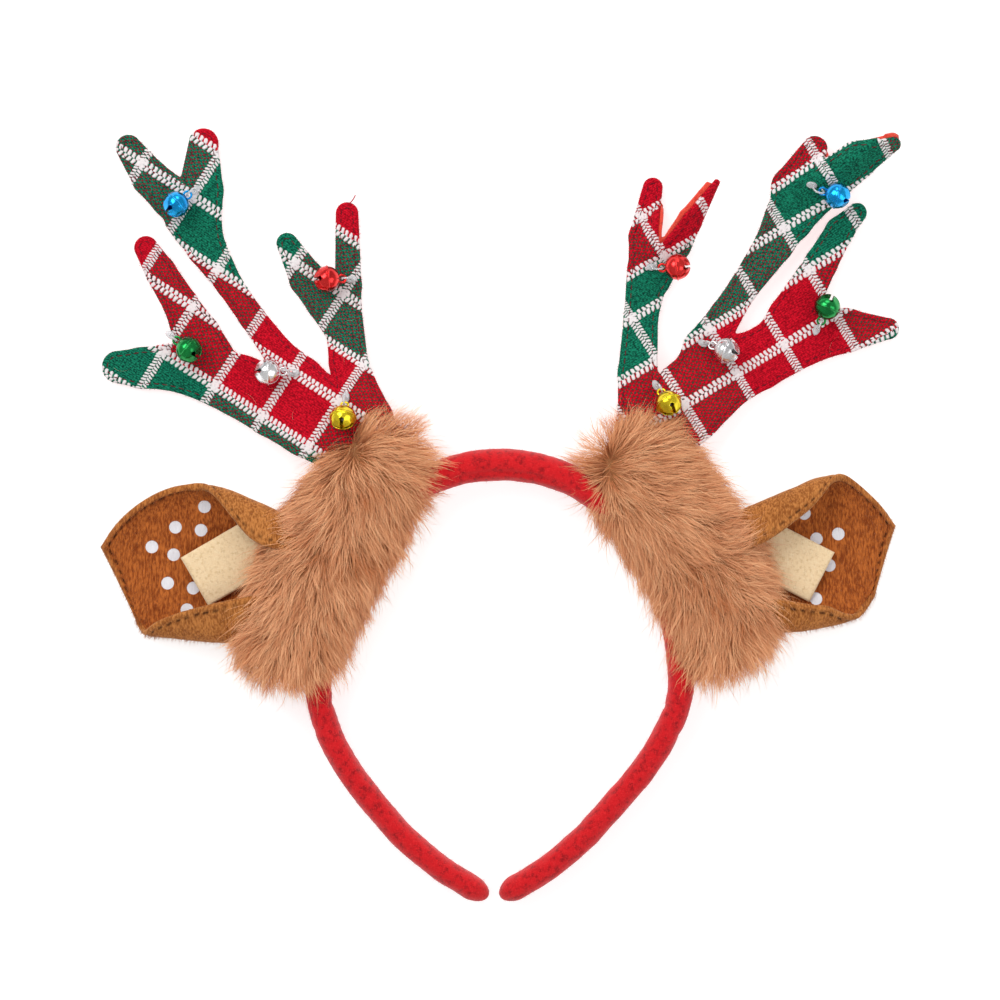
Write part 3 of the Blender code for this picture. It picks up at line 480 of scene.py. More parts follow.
draw = np.random.default_rng(21)
fuzz_roots, fuzz_normals = band_skin(
    draw.uniform(-0.998, 0.998, FELT_FUZZ_COUNT), draw.uniform(-0.9, math.pi + 0.9, FELT_FUZZ_COUNT))
fuzz_points, fuzz_faces, _ = short_fuzz(
    fuzz_roots, fuzz_normals * 0.35, np.zeros(3), FELT_FUZZ_LENGTH, FELT_FUZZ_WIDTH, 22)
fuzz_points[:, 2] = np.maximum(fuzz_points[:, 2], FLOOR_CLEARANCE)
seat(add_piece("felt_band_fuzz", fuzz_points, fuzz_faces, band_felt))

# The antlers: each is a woven red and green plaid front fused to an orange-red felt back,
# die-cut in one go, topstitched near its raw edge and held at its root inside the fur.
ANTLER_REACH = {LEFT: 0.1122, RIGHT: 0.1134}
ANTLER_AT = {LEFT: 0.191, RIGHT: 0.185}
LAYER_GAP = 0.0003
CLOTH_THICK = 0.0015
TINE_LIFT = 0.0024
FRONT_PITCH = 0.00060
BACK_PITCH = 0.00112
STITCH_INSET = 0.0021
STITCH_LENGTH = 0.0024
STITCH_STEP = 0.0031
STITCH_RADIUS = 0.00018
# Columns: away from the middle, up and width, as shares of the antler's reach
BRANCHES = {
    LEFT: {
        "neck": ((0.027, 0.067, 0.113), (0.033, 0.163, 0.187)),
        "outer_low": (
            (0.020, 0.108, 0.150), (0.117, 0.173, 0.253), (0.247, 0.240, 0.263),
            (0.367, 0.293, 0.233), (0.487, 0.349, 0.207), (0.617, 0.400, 0.187),
            (0.727, 0.413, 0.153), (0.817, 0.410, 0.137), (0.893, 0.413, 0.110)),
        "outer_up": (
            (0.560, 0.393, 0.167), (0.633, 0.517, 0.160), (0.683, 0.617, 0.117),
            (0.753, 0.731, 0.102), (0.800, 0.808, 0.080)),
        "middle": (
            (0.200, 0.283, 0.167), (0.283, 0.373, 0.147), (0.358, 0.457, 0.103),
            (0.450, 0.579, 0.087), (0.524, 0.686, 0.089), (0.600, 0.808, 0.130),
            (0.647, 0.913, 0.187)),
        "middle_left": (
            (0.633, 0.893, 0.147), (0.717, 0.977, 0.140), (0.787, 1.041, 0.123),
            (0.859, 1.141, 0.087)),
        "middle_right": ((0.633, 0.883, 0.167), (0.619, 1.000, 0.150), (0.610, 1.156, 0.100)),
        "inner_stem": (
            (0.020, 0.120, 0.133), (0.060, 0.233, 0.167), (0.107, 0.349, 0.143),
            (0.127, 0.426, 0.130), (0.150, 0.633, 0.123)),
        "inner_right": ((0.147, 0.573, 0.120), (0.130, 0.683, 0.090), (0.134, 0.923, 0.077)),
        "inner_left": (
            (0.157, 0.550, 0.120), (0.205, 0.632, 0.133), (0.267, 0.707, 0.120),
            (0.333, 0.823, 0.073)),
    },
    RIGHT: {
        "neck": ((0.037, 0.055, 0.113), (0.080, 0.135, 0.187)),
        "outer_low": (
            (0.060, 0.090, 0.147), (0.130, 0.168, 0.220), (0.225, 0.282, 0.267),
            (0.343, 0.389, 0.253), (0.467, 0.432, 0.200), (0.558, 0.485, 0.200),
            (0.680, 0.522, 0.167), (0.764, 0.532, 0.147), (0.900, 0.538, 0.073)),
        "outer_up": (
            (0.520, 0.464, 0.160), (0.580, 0.574, 0.150), (0.680, 0.752, 0.108),
            (0.742, 0.860, 0.094), (0.797, 0.918, 0.067)),
        "middle": (
            (0.247, 0.318, 0.167), (0.298, 0.468, 0.146), (0.367, 0.582, 0.106),
            (0.425, 0.670, 0.098), (0.527, 0.816, 0.128), (0.574, 0.906, 0.160)),
        "middle_left": ((0.580, 0.895, 0.147), (0.587, 1.002, 0.140), (0.659, 1.128, 0.087)),
        "middle_right": (
            (0.580, 0.902, 0.153), (0.663, 0.985, 0.140), (0.795, 1.086, 0.113),
            (0.913, 1.142, 0.043)),
        "inner_stem": (
            (0.053, 0.135, 0.133), (0.080, 0.268, 0.140), (0.076, 0.389, 0.130),
            (0.089, 0.580, 0.113), (0.114, 0.728, 0.143)),
        "inner_left": (
            (0.113, 0.702, 0.133), (0.097, 0.840, 0.097), (0.128, 1.002, 0.067)),
        "inner_right": (
            (0.130, 0.702, 0.120), (0.206, 0.810, 0.087), (0.250, 0.886, 0.063),
            (0.333, 1.018, 0.017)),
    },
}
# Twisted tines. Columns: base away and up, tip away and up, steepness of the raised edge
TWISTS = {
    LEFT: (),
    RIGHT: ((0.620, 0.930, 0.930, 1.150, 0.75), (0.150, 0.735, 0.333, 1.020, 0.80)),
}
BACK_SHOWS = 0.0012        # felt that a twisted tine shows along its raised edge
# The plaid's white lines in the photo: the direction that crosses them, then where they
# cross it, in pixels, and the number of the first in the cloth's repeat of four
WIDE_LINES = {
    LEFT: ((-0.545, 0.839), (8.0, 59.5, 108.0, 152.0, 207.0), 0),
    RIGHT: ((0.515, 0.857), (560.0, 598.0, 647.0, 700.0, 743.0), 0),
}
FINE_LINES = {
    LEFT: ((0.839, 0.545), (205.0, 266.0, 327.0, 389.0, 447.0, 503.0), -1),
    RIGHT: ((0.857, -0.515), (378.0, 440.0, 496.0, 556.0, 622.0), 1),
}
WIDE_SPACING, FINE_SPACING = 18.4, 22.2      # between lines, in millimetres
WIDE_LINE, WIDE_PITCH = 4.1, 1.93            # a line's width and its yarn's pitch, likewise
FINE_LINE, FINE_PITCH = 3.6, 1.25
WEFT_PITCH, WARP_PITCH = 0.80, 1.05          # between threads, likewise


def antler_root(side):
    """Where an antler meets the band, and the unit of its branch table."""
    centre, outward, thick = band_stations([side * ANTLER_AT[side]])
    return (centre[0] + outward[0] * (thick[0] / 2))[:2], ANTLER_REACH[side]


def branch_field(side, x, y):
    """Signed distance to an antler's outline, in shares of its reach: each branch is a
    string of round-ended strokes whose width changes evenly, and strokes blend softly."""
    soft_blend = 0.008
    field = np.full(np.shape(x), 9.0)
    for rows in BRANCHES[side].values():
        for (x0, y0, w0), (x1, y1, w1) in zip(rows, rows[1:]):
            t = ((x - x0) * (x1 - x0) + (y - y0) * (y1 - y0)) / ((x1 - x0) ** 2 + (y1 - y0) ** 2)
            t = as_share(t)
            gap = np.hypot(x - x0 - t * (x1 - x0), y - y0 - t * (y1 - y0))
            stroke = gap - (w0 + t * (w1 - w0)) / 2
            soft = np.clip(soft_blend - np.abs(field - stroke), 0.0, None)
            field = np.minimum(field, stroke) - soft**2 / (4 * soft_blend)
    return field


def twist_share(row, x, y):
    """How far a place belongs to a twisted tine, from 0 to 1 towards its tip, and how far
    it lies to the tine's right."""
    x0, y0, x1, y1, _ = row
    length = math.hypot(x1 - x0, y1 - y0)
    ux, uy = (x1 - x0) / length, (y1 - y0) / length
    along = ((x - x0) * ux + (y - y0) * uy) / length
    off = uy * (x - x0) - ux * (y - y0)
    near = as_share(1.6 - np.abs(off) / 0.07)
    return as_share(along / 0.55) * near, off


def antler_height(side, x, y):
    """Height of an antler's middle over the table, by shares of its reach: it leaves the
    sleeve at the band's height, settles towards the table and waves a little. A twisted
    tine tilts about its own line, more towards its tip."""
    settle = smooth_ramp(np.hypot(x, y), 0.10, 0.72)
    reach = ANTLER_REACH[side]
    wave = 0.008 * reach * (1.0 + np.sin(5.2 * x + 1.0) * np.cos(4.1 * y))
    z = SLEEVE_LIFT + (TINE_LIFT - SLEEVE_LIFT) * settle + wave * settle
    for row in TWISTS[side]:
        share, off = twist_share(row, x, y)
        z = z + reach * share * (0.050 - row[4] * off)
    return z


def antler_surface(side, x, y, offset):
    """Points at this distance along the normal from the middle of an antler's layers."""
    root, reach = antler_root(side)
    step = 1e-3
    z = antler_height(side, x, y)
    dx = (antler_height(side, x + step, y) - z) / (step * reach)
    dy = (antler_height(side, x, y + step) - z) / (step * reach)
    length = np.sqrt(1.0 + dx**2 + dy**2)
    return np.stack([
        root[0] + side * (x * reach - offset * dx / length),
        root[1] + y * reach - offset * dy / length,
        z + offset / length], axis=-1)


def filled_outline(side, grow, pitch, back=False):
    """A grid of squares that fills an antler's outline, grown by this much: grid points near
    the outline move onto it along the field's slope, and the squares around every point
    that lies deeper are kept. Returns the points as shares of the reach, their depth inside
    the outline in metres, the squares, and the directed edges round the rim."""
    reach = ANTLER_REACH[side]
    step = pitch / reach
    x, y = np.meshgrid(np.arange(-0.12, 1.06, step), np.arange(-0.06, 1.28, step), indexing="ij")
    field = branch_field(side, x, y) - grow / reach
    if back:
        for row in TWISTS[side]:
            share, off = twist_share(row, x, y)
            field -= BACK_SHOWS / reach * share**0.5 * as_share(-off / 0.012)
    slope_x, slope_y = np.gradient(field, step)
    steep = np.maximum(slope_x**2 + slope_y**2, 0.25)
    near = np.abs(field) <= 0.7072 * step
    x = np.where(near, x - field * slope_x / steep, x)
    y = np.where(near, y - field * slope_y / steep, y)
    deep = field < -0.7072 * step
    inside = deep | near
    corners = (slice(None, -1), slice(1, None))
    kept = np.ones((x.shape[0] - 1, x.shape[1] - 1), bool)
    held = np.zeros_like(kept)
    for i in corners:
        for j in corners:
            kept &= inside[i, j]
            held |= deep[i, j]
    kept &= held
    index = np.arange(x.size).reshape(x.shape)
    ring = np.stack([index[:-1, :-1], index[1:, :-1], index[1:, 1:], index[:-1, 1:]], axis=-1)
    padded = np.pad(kept, 1)
    beside = (padded[1:-1, :-2], padded[2:, 1:-1], padded[1:-1, 2:], padded[:-2, 1:-1])
    rim = [
        np.stack([ring[kept & ~other, k], ring[kept & ~other, (k + 1) % 4]], axis=-1)
        for k, other in enumerate(beside)]
    used, faces = np.unique(ring[kept], return_inverse=True)
    rank = np.zeros(x.size, int)
    rank[used] = np.arange(len(used))
    depth = np.where(near, 0.0, -field * reach).ravel()[used]
    return (
        x.ravel()[used], y.ravel()[used], depth, faces.reshape(-1, 4), rank[np.concatenate(rim)])


def slab(side, top, bottom, faces, rim):
    """Closed skin of a flat layer: its top, its turned-over bottom and a wall along the rim.
    The left antler is a mirror image, so its faces are turned."""
    count = len(top)
    walls = np.stack([rim[:, 0] + count, rim[:, 1] + count, rim[:, 1], rim[:, 0]], axis=-1)
    every = np.concatenate([faces, faces[:, ::-1] + count, walls])
    return np.concatenate([top, bottom]), every if side == RIGHT else every[:, ::-1]


def line_count(side, x, y, lines):
    """Number of white lines up to a place on the cloth, with the shares between them."""
    (way_x, way_y), marks, first = lines[side]
    root, reach = antler_root(side)
    column = ORIGIN_COLUMN + (root[0] + side * x * reach) / PIXEL
    row = ORIGIN_ROW - (root[1] + y * reach) / PIXEL
    across = way_x * column + way_y * row
    marks = np.array(marks)
    gap = np.diff(marks).mean()
    count = np.interp(across, marks, np.arange(len(marks)) + float(first))
    count += np.minimum(across - marks[0], 0.0) / gap + np.maximum(across - marks[-1], 0.0) / gap
    return count


def yarn_line(off, along, width, pitch, slant):
    """Height, 0 to 1, of a white line of chunky yarn: two rows of floats that stand across
    the line, half a pitch apart, each a rounded pad. Distances are in millimetres."""
    row = off > 0.0
    side_off = abs(off)
    cell = (along / pitch + row * 0.5 + side_off * slant) % 1.0 - 0.5
    across = (side_off - width * 0.23) / (width * 0.27)
    pad = 1.12 - (cell / 0.37) * (cell / 0.37) - across * across * across * across * 0.90
    return as_share(pad)


def white_yarn(wide, fine):
    """Height, 0 to 1, of the white yarn at a place counted in wide and fine lines."""
    wide_off = ((wide + 0.5) % 1.0 - 0.5) * WIDE_SPACING
    fine_off = ((fine + 0.5) % 1.0 - 0.5) * FINE_SPACING
    wide_line = yarn_line(wide_off, fine * FINE_SPACING, WIDE_LINE, WIDE_PITCH, 0.10)
    fine_line = yarn_line(fine_off, wide * WIDE_SPACING, FINE_LINE, FINE_PITCH, -0.22)
    cross = (1.9 - abs(wide_off)).clip(0.0, 1.0) * (1.6 - abs(fine_off)).clip(0.0, 1.0)
    wide_share = (WIDE_LINE / 2 + 0.1 - abs(wide_off)).clip(0.0, 0.15) / 0.15
    fine_share = (FINE_LINE / 2 + 0.1 - abs(fine_off)).clip(0.0, 0.15) / 0.15
    total = wide_line * wide_share + fine_line * fine_share + cross * 0.8
    return as_share(total)


plaid, plaid_shader, plaid_start = new_finish(
    "woven_plaid", Roughness=0.92, Specular_IOR_Level=0.06, Sheen_Weight=0.03, Sheen_Roughness=0.6)
plaid_uv = plaid_start.node("ShaderNodeUVMap", {"uv_map": "cloth"})
tremble = grain(plaid_start, 0.0013) - 0.5
wide_count = plaid_start.node("ShaderNodeSeparateXYZ", {}, {0: plaid_uv}) + tremble * 0.050
fine_count = plaid_start.node(
    "ShaderNodeSeparateXYZ", {}, {0: plaid_uv}, output=1) - tremble * 0.040
weft_red = (wide_count % 4.0) > 2.0
warp_red = (fine_count % 4.0) > 2.0
weft_at = wide_count * (WIDE_SPACING / WEFT_PITCH)
warp_at = fine_count * (FINE_SPACING / WARP_PITCH)
weft_off = abs(weft_at % 1.0 - 0.5)
warp_off = abs(warp_at % 1.0 - 0.5)
weft_number, warp_number = weft_at - weft_at % 1.0, warp_at - warp_at % 1.0
dash = ((weft_number + warp_number) % 2.0) * (weft_off < 0.40) * (warp_off < 0.38)
wool = grain(plaid_start, 0.0010, 4.0)
fleck = grain(plaid_start, 0.0007, 2.0)
thread_height = dash * (0.95 - warp_off) + (1.0 - dash) * (0.80 - weft_off * 1.1)
# Painted shade: the weft is coloured darker at each thread's sides and in the gaps between threads,
# following the thread height, mixed with real random flecks and wool tone.
thread_shade_and_fleck = (thread_height * 1.1 - 0.15 + (fleck - 0.5) * 3.0 + (wool - 0.5) * 1.2).clip(0.0, 1.0)
mixed = abs(warp_red - weft_red)
red_thread = blend(thread_shade_and_fleck, (0.270, 0.001, 0.008, 1), (0.700, 0.005, 0.022, 1))
green_thread = blend(thread_shade_and_fleck, (0.001, 0.040, 0.027, 1), (0.008, 0.225, 0.125, 1))
deep_red, deep_green = (0.210, 0.010, 0.024, 1), (0.020, 0.050, 0.036, 1)
weft = blend(weft_red, green_thread, red_thread)
warp = blend(warp_red, deep_green, deep_red)
ground = blend(dash * mixed * 0.92, weft, warp)
yarn = (white_yarn(wide_count, fine_count) * (0.45 + wool * 1.1)).clip(0.0, 1.0)
# Painted shade: the white yarn is coloured grey-pink where its rounded pads are low and white on their
# crowns, mixed with random flecks.
shaded_white_yarn = blend(
    smooth_ramp(yarn, 0.20, 0.75) * 0.7 + fleck * 0.3, (0.56, 0.46, 0.47, 1), (0.98, 0.92, 0.93, 1))
tinted = blend(0.10, shaded_white_yarn, ground)
white_share = smooth_ramp(yarn, 0.08, 0.34)
plaid_relief = thread_height * (1.0 - white_share) * 0.45 + yarn * 0.9 + wool * 0.3
feed(
    plaid_shader, Base_Color=blend(white_share, ground, tinted),
    Normal=raised(plaid_relief, 0.00034))

back_felt = felt_finish(
    "orange_back_felt", (0.560, 0.030, 0.020, 1), (0.780, 0.060, 0.035, 1),
    (0.900, 0.130, 0.080, 1))
thread, _, _ = mottled(
    "dark_stitch_thread", 0.0003, (0.060, 0.005, 0.010, 1), (0.200, 0.010, 0.024, 1), 2.0, 0.0001,
    Roughness=0.8, Specular_IOR_Level=0.2)


def tubes(path, radius, sides):
    """Round-ended tubes along several paths at once: rings of points stand square to each
    path, and the first and last ring shrink to a point."""
    count, joints = path.shape[:2]
    along = unit(np.gradient(path, axis=1))
    up = np.where(np.abs(along[..., 2:]) > 0.9, [[[1.0, 0.0, 0.0]]], [[[0.0, 0.0, 1.0]]])
    flank = unit(np.cross(along, up))
    above = np.cross(flank, along)
    turn = even_turns(sides)
    end = np.linspace(-1.0, 1.0, joints)
    size = radius * np.sqrt(as_share((1.0 - np.abs(end)) * joints / 2.6))
    ring = (
        flank[:, :, None] * np.cos(turn)[None, None, :, None]
        + above[:, :, None] * np.sin(turn)[None, None, :, None])
    points = path[:, :, None] + ring * size[None, :, None, None]
    faces = grid_faces(joints, sides, ring=True)
    every = faces[None] + (np.arange(count) * joints * sides)[:, None, None]
    return points.reshape(-1, 3), every.reshape(-1, 4)


def stitch_paths(side):
    """Middle lines of the topstitches: the rim of an outline drawn in by the inset, walked
    round once and cut into equal stitches with a short step between them."""
    x, y, _, _, rim = filled_outline(side, -STITCH_INSET, 0.0006)
    after = dict(rim.tolist())
    loops = []
    while after:
        loop = [next(iter(after))]
        while loop[-1] in after:
            loop.append(after.pop(loop[-1]))
        loops.append(loop)
    paths = []
    reach = ANTLER_REACH[side]
    for loop in loops:
        line = np.stack([x[loop], y[loop]], axis=1)
        for _ in range(3):
            line[1:-1] = (line[:-2] + 2 * line[1:-1] + line[2:]) / 4
        run = chords(line) * reach
        count = int(run[-1] / STITCH_STEP)
        if count < 3:
            continue
        at = np.arange(count)[:, None] * STITCH_STEP + np.linspace(0.0, STITCH_LENGTH, 6)[None]
        spot = np.stack([np.interp(at, run, line[:, k]) for k in (0, 1)], axis=-1)
        arch = np.sin(np.linspace(0.0, math.pi, 6)) ** 0.5
        offset = LAYER_GAP / 2 + CLOTH_THICK - 0.00032 + 0.00022 * arch[None]
        paths.append(antler_surface(side, spot[..., 0], spot[..., 1], offset))
    return np.concatenate(paths)


antler_fronts = {}
for side, label in SIDE_NAME.items():
    x, y, depth, faces, rim = filled_outline(side, -0.0001, FRONT_PITCH)
    wide, fine = (line_count(side, x, y, lines) for lines in (WIDE_LINES, FINE_LINES))
    flat = np.stack([x, y, np.zeros_like(x)], axis=-1) * ANTLER_REACH[side]
    groove = hump(depth, STITCH_INSET, 0.00050)
    droop = as_share(1.0 - depth / 0.0006) ** 2
    relief = 0.00018 * white_yarn(wide, fine) - 0.00014 * groove - 0.00040 * droop
    relief += 0.00008 * lumps(flat, 0.004, 31 + side) + 0.00006 * lumps(flat, 0.0015, 41 + side)
    top = antler_surface(side, x, y, LAYER_GAP / 2 + CLOTH_THICK - 0.0001 + relief)
    bottom = antler_surface(side, x, y, LAYER_GAP / 2)
    cloth = np.tile(np.stack([wide, fine], axis=1), (2, 1))
    front = add_piece(
        "plaid_front_" + label, *slab(side, top, bottom, faces, rim), plaid, cloth=cloth)
    antler_fronts[side] = (x, y, top, rim)
    seat(front, "antler_front_" + label)

    x, y, depth, faces, rim = filled_outline(side, -0.00030, BACK_PITCH, back=True)
    droop = 0.00045 * as_share(1.0 - depth / 0.0008) ** 2
    top = antler_surface(side, x, y, -LAYER_GAP / 2 + 0.00025 - 0.5 * droop)
    bottom = antler_surface(side, x, y, -LAYER_GAP / 2 - CLOTH_THICK + droop)
    back = add_piece("felt_back_" + label, *slab(side, top, bottom, faces, rim), back_felt)
    seat(back, "antler_back_" + label)

    seat(add_piece(
        "antler_stitches_" + label, *tubes(stitch_paths(side), STITCH_RADIUS, 5), thread, weld=True))

# The cut edge of the plaid frays: short fibres stand out from it all round in the colours
# of the cloth, and a red yarn end has worked loose at one tip of the left antler.
EDGE_FIBRES = 2600
FIBRE_LENGTH = 0.0009
FIBRE_WIDTH = 0.00007
LOOSE_YARN_RADIUS = 0.00022
STRAY_WIDTH = 0.00009
FUZZ_POINTS = 5               # of each hair that short_fuzz makes
LOOSE_YARN = ((344, 203), (349, 201), (352, 198), (355, 193))
STRAY_COUNT = 9
yarn_end, _, _ = mottled(
    "red_yarn_end", 0.0003, (0.350, 0.004, 0.016, 1), (0.700, 0.012, 0.040, 1), 2.0, Roughness=0.9)
stray, _, _ = mottled(
    "stray_hair", 0.004, (0.50, 0.30, 0.18, 1), (0.85, 0.68, 0.52, 1), 2.0, Roughness=0.6)
for side, label in SIDE_NAME.items():
    x, y, top, rim = antler_fronts[side]
    draw = np.random.default_rng(45 + side)
    chosen = rim[draw.integers(0, len(rim), EDGE_FIBRES)]
    tangent = unit(top[chosen[:, 1]] - top[chosen[:, 0]])
    out = np.cross(tangent, [0.0, 0.0, 1.0]) * side
    start_points = top[chosen[:, 0]] - out * 0.0001
    start_points[:, 2] -= draw.uniform(0.0, CLOTH_THICK * 0.8, EDGE_FIBRES)
    fibre_points, fibre_faces, _ = short_fuzz(
        start_points, out, np.zeros(3), FIBRE_LENGTH, FIBRE_WIDTH, 47 + side)
    fibre_points[:, 2] = np.maximum(fibre_points[:, 2], FLOOR_CLEARANCE)
    counts = np.stack([
        line_count(side, x[chosen[:, 0]], y[chosen[:, 0]], lines)
        for lines in (WIDE_LINES, FINE_LINES)], axis=1)
    fibre_cloth = np.repeat(counts, FUZZ_POINTS, axis=0)
    seat(add_piece("edge_fibres_" + label, fibre_points, fibre_faces, plaid, cloth=fibre_cloth))

    inner = np.flatnonzero(branch_field(side, x, y) < -0.03)
    first = top[draw.choice(inner, STRAY_COUNT)] + [0.0, 0.0, 0.0003]
    turn = draw.uniform(0.0, 2 * math.pi, STRAY_COUNT)[:, None]
    s = np.linspace(0.0, 1.0, 9)[None]
    bend = turn + draw.uniform(-1.6, 1.6, (STRAY_COUNT, 1)) * s
    run = draw.uniform(0.004, 0.009, (STRAY_COUNT, 1)) * s
    stray_path = first[:, None] + np.stack(
        [run * np.cos(bend), run * np.sin(bend), 0.0 * run], axis=2)
    across = np.tile([0.5, 0.5, 0.7], (STRAY_COUNT, 1))
    stray_points, stray_faces, _ = ribbons(stray_path, across, np.full(STRAY_COUNT, STRAY_WIDTH))
    seat(add_piece("stray_hairs_" + label, stray_points, stray_faces, stray))

loose = np.array([from_photo(*place) for place in LOOSE_YARN])
loose_rows = np.column_stack([loose, np.linspace(0.0030, 0.0062, len(loose))])
loose_path = smooth_curve(loose_rows, np.linspace(0.0, chords(loose_rows)[-1], 16))
seat(add_piece("loose_yarn_end", *tubes(loose_path[None], LOOSE_YARN_RADIUS, 6), yarn_end, weld=True))

# The jingle bells: two thin pressed cups, 10 mm across, crimped together round the middle.
# The lower cup is cut by a cross into four petals, a ring is soldered on top, and each bell
# is lacquered or nickelled. A steel pellet lies loose inside.
BELL_RADIUS = 0.0048
BELL_WALL = 0.0005
CRIMP_PROUD = 0.0003
SLOT_WIDTH = 0.0012
PETAL_PRESS = 0.080           # how flat a petal is pressed, as a share of the radius
RING_RADIUS = 0.0014
BELL_GAP = 0.00066            # from the middle of the cloth layers' gap
RING_WIRE = 0.0004
PELLET_RADIUS = 0.0015
PIN_WIRE = 0.00035
PADDLE_RADIUS = 0.0021
# Columns: name, away and up as shares of the reach, direction of the ring in degrees from
# outward, and how far the ring is tipped down, in degrees
BELLS = {
    LEFT: (
        ("blue", 0.695, 0.947, 139.0, 12.0), ("red", 0.198, 0.702, 178.0, 10.0),
        ("green", 0.653, 0.468, 37.0, 8.0), ("silver", 0.392, 0.394, 178.0, 12.0),
        ("gold", 0.141, 0.241, 92.0, 26.0)),
    RIGHT: (
        ("blue", 0.726, 0.967, 164.0, 12.0), ("red", 0.206, 0.737, 184.0, 10.0),
        ("green", 0.695, 0.606, 247.0, 8.0), ("silver", 0.366, 0.462, 156.0, 16.0),
        ("gold", 0.174, 0.289, 116.0, 24.0)),
}
# Columns: lacquer's dark and bright tone
LACQUERS = {
    "blue": ((0.000, 0.230, 0.640, 1), (0.000, 0.400, 0.880, 1)),
    "red": ((0.560, 0.008, 0.010, 1), (0.860, 0.030, 0.028, 1)),
    "green": ((0.000, 0.150, 0.030, 1), (0.005, 0.310, 0.060, 1)),
    "silver": ((0.640, 0.640, 0.660, 1), (0.930, 0.930, 0.940, 1)),
    "gold": ((0.560, 0.360, 0.004, 1), (0.960, 0.760, 0.020, 1)),
}


def petals():
    """The lower cup: each quarter runs between two half slots from its corner at the pole to
    the crimp. Its section is closed, an outer arc one way and an inner arc back. Beyond the
    slot's round end the quarters meet, with no wall between them. A petal is pressed a little
    flat along its middle."""
    slant = np.radians(np.concatenate([np.linspace(8.5, 56.0, 15), np.linspace(59.0, 90.0, 7)]))
    corner = math.radians(45.0)
    slot = SLOT_WIDTH / 2 * (1.0 + 0.55 * hump(np.degrees(slant), 50.0, 7.0))
    slot = slot * np.sqrt(as_share((59.0 - np.degrees(slant)) / 5.0))
    points, faces = [], []
    across = np.linspace(-1.0, 1.0, 15)
    for number in range(4):
        rings = []
        for radius, order in ((BELL_RADIUS, across), (BELL_RADIUS - BELL_WALL, across[::-1])):
            lean = slant[:, None] + 0.0 * order[None]
            ring_radius = radius * np.sin(lean)
            edge = np.arcsin(np.clip(slot[:, None] / np.maximum(ring_radius, 1e-6), 0.0, 0.7071))
            turn = corner + 2 * corner * number + order[None] * (corner - edge)
            press = 1.0 - PETAL_PRESS * np.cos(order[None] * 1.5) * np.sin(2 * lean) ** 2
            rings.append(np.stack([
                ring_radius * press * np.cos(turn), ring_radius * press * np.sin(turn),
                -radius * press * np.cos(lean)], axis=-1))
        section = np.concatenate(rings, axis=1)
        rows, columns = section.shape[:2]
        skin = grid_faces(rows, columns, ring=True).reshape(rows - 1, columns, 4)
        walls = np.zeros(columns, bool)
        walls[[columns // 2 - 1, columns - 1]] = True
        joined_up = (slot[:-1] + slot[1:] == 0.0)[:, None] & walls
        rim = np.arange(columns // 2 - 1)
        rim = np.stack([columns - 1 - rim, columns - 2 - rim, rim + 1, rim], axis=-1)
        rim += (rows - 1) * columns
        count = sum(len(part) for part in points)
        faces.append(np.concatenate([skin[~joined_up], rim]) + count)
        points.append(section.reshape(-1, 3))
    return np.concatenate(points), np.concatenate(faces)


def turned(profile, sides):
    """A closed profile of radius and height carried once round the upright axis."""
    turn = even_turns(sides)
    radius, height = profile[:, 0], profile[:, 1]
    points = np.stack([
        radius[:, None] * np.cos(turn), radius[:, None] * np.sin(turn),
        height[:, None] + 0.0 * turn], axis=-1)
    return points.reshape(-1, 3), grid_faces(len(profile), sides, ring=True, loop=True)


def dome_profile():
    """The upper cup from its pole down to the crimp, over the rolled crimp and back up
    inside."""
    fall = np.radians(np.linspace(0.5, 84.0, 15))
    outer = np.stack([np.sin(fall), np.cos(fall)], axis=1) * BELL_RADIUS
    roll = np.radians(np.linspace(65.0, -90.0, 8))
    crimp = np.stack([
        BELL_RADIUS - 0.0001 + (CRIMP_PROUD + 0.0001) * np.cos(roll),
        1.35 * CRIMP_PROUD * np.sin(roll)], axis=1)
    back = np.radians(np.linspace(91.0, 0.5, 9))
    inner = np.stack([np.sin(back), np.cos(back)], axis=1) * (BELL_RADIUS - BELL_WALL)
    return np.concatenate([outer, crimp, inner])


def wire_ring():
    """The ring of wire on top of a bell, round the X axis."""
    wire = even_turns(10)
    profile = np.stack([RING_RADIUS + RING_WIRE * np.cos(wire), -RING_WIRE * np.sin(wire)], axis=1)
    points, faces = turned(profile, 28)
    return points[:, [2, 0, 1]] + [0.0, 0.0, ring_distance()], faces


def joined(parts):
    """Several pieces' points and faces as one."""
    points, faces, count = [], [], 0
    for some, theirs in parts:
        points.append(some)
        faces.append(theirs + count)
        count += len(some)
    return np.concatenate(points), np.concatenate(faces)


def ring_distance():
    """From a bell's centre to its ring's centre."""
    return BELL_RADIUS + 0.62 * RING_RADIUS


def bell_frame(side, row):
    """Seat of a bell on its antler: the centre, the ring's way, the flank and the antler's
    normal there, and how far the ring is tipped down."""
    _, away, up, heading, tip = row
    stand = BELL_GAP + CLOTH_THICK + BELL_RADIUS + CRIMP_PROUD
    x, y = np.array(away), np.array(up)
    root, reach = antler_root(side)
    wanted = root + np.array([side * away * reach, up * reach])
    for _ in range(4):
        spot = antler_surface(side, x, y, stand)
        x = x + side * (wanted[0] - spot[0]) / reach
        y = y + (wanted[1] - spot[1]) / reach
    centre = antler_surface(side, x, y, stand)
    normal = unit(centre - antler_surface(side, x, y, 0.0))
    turn = math.radians(heading)
    way = np.array([side * math.cos(turn), math.sin(turn), 0.0])
    way = unit(way - normal * way.dot(normal))
    return centre, way, np.cross(normal, way), normal, math.radians(tip)


def cloth_below(side, centre, way, normal, out):
    """Height along the normal of the woven front, this far out from a bell's centre."""
    root, reach = antler_root(side)
    spot = centre + way * out
    x = np.array(side * (spot[0] - root[0]) / reach)
    y = np.array((spot[1] - root[1]) / reach)
    top = antler_surface(side, x, y, LAYER_GAP / 2 + CLOTH_THICK)
    return float((top - centre).dot(normal))


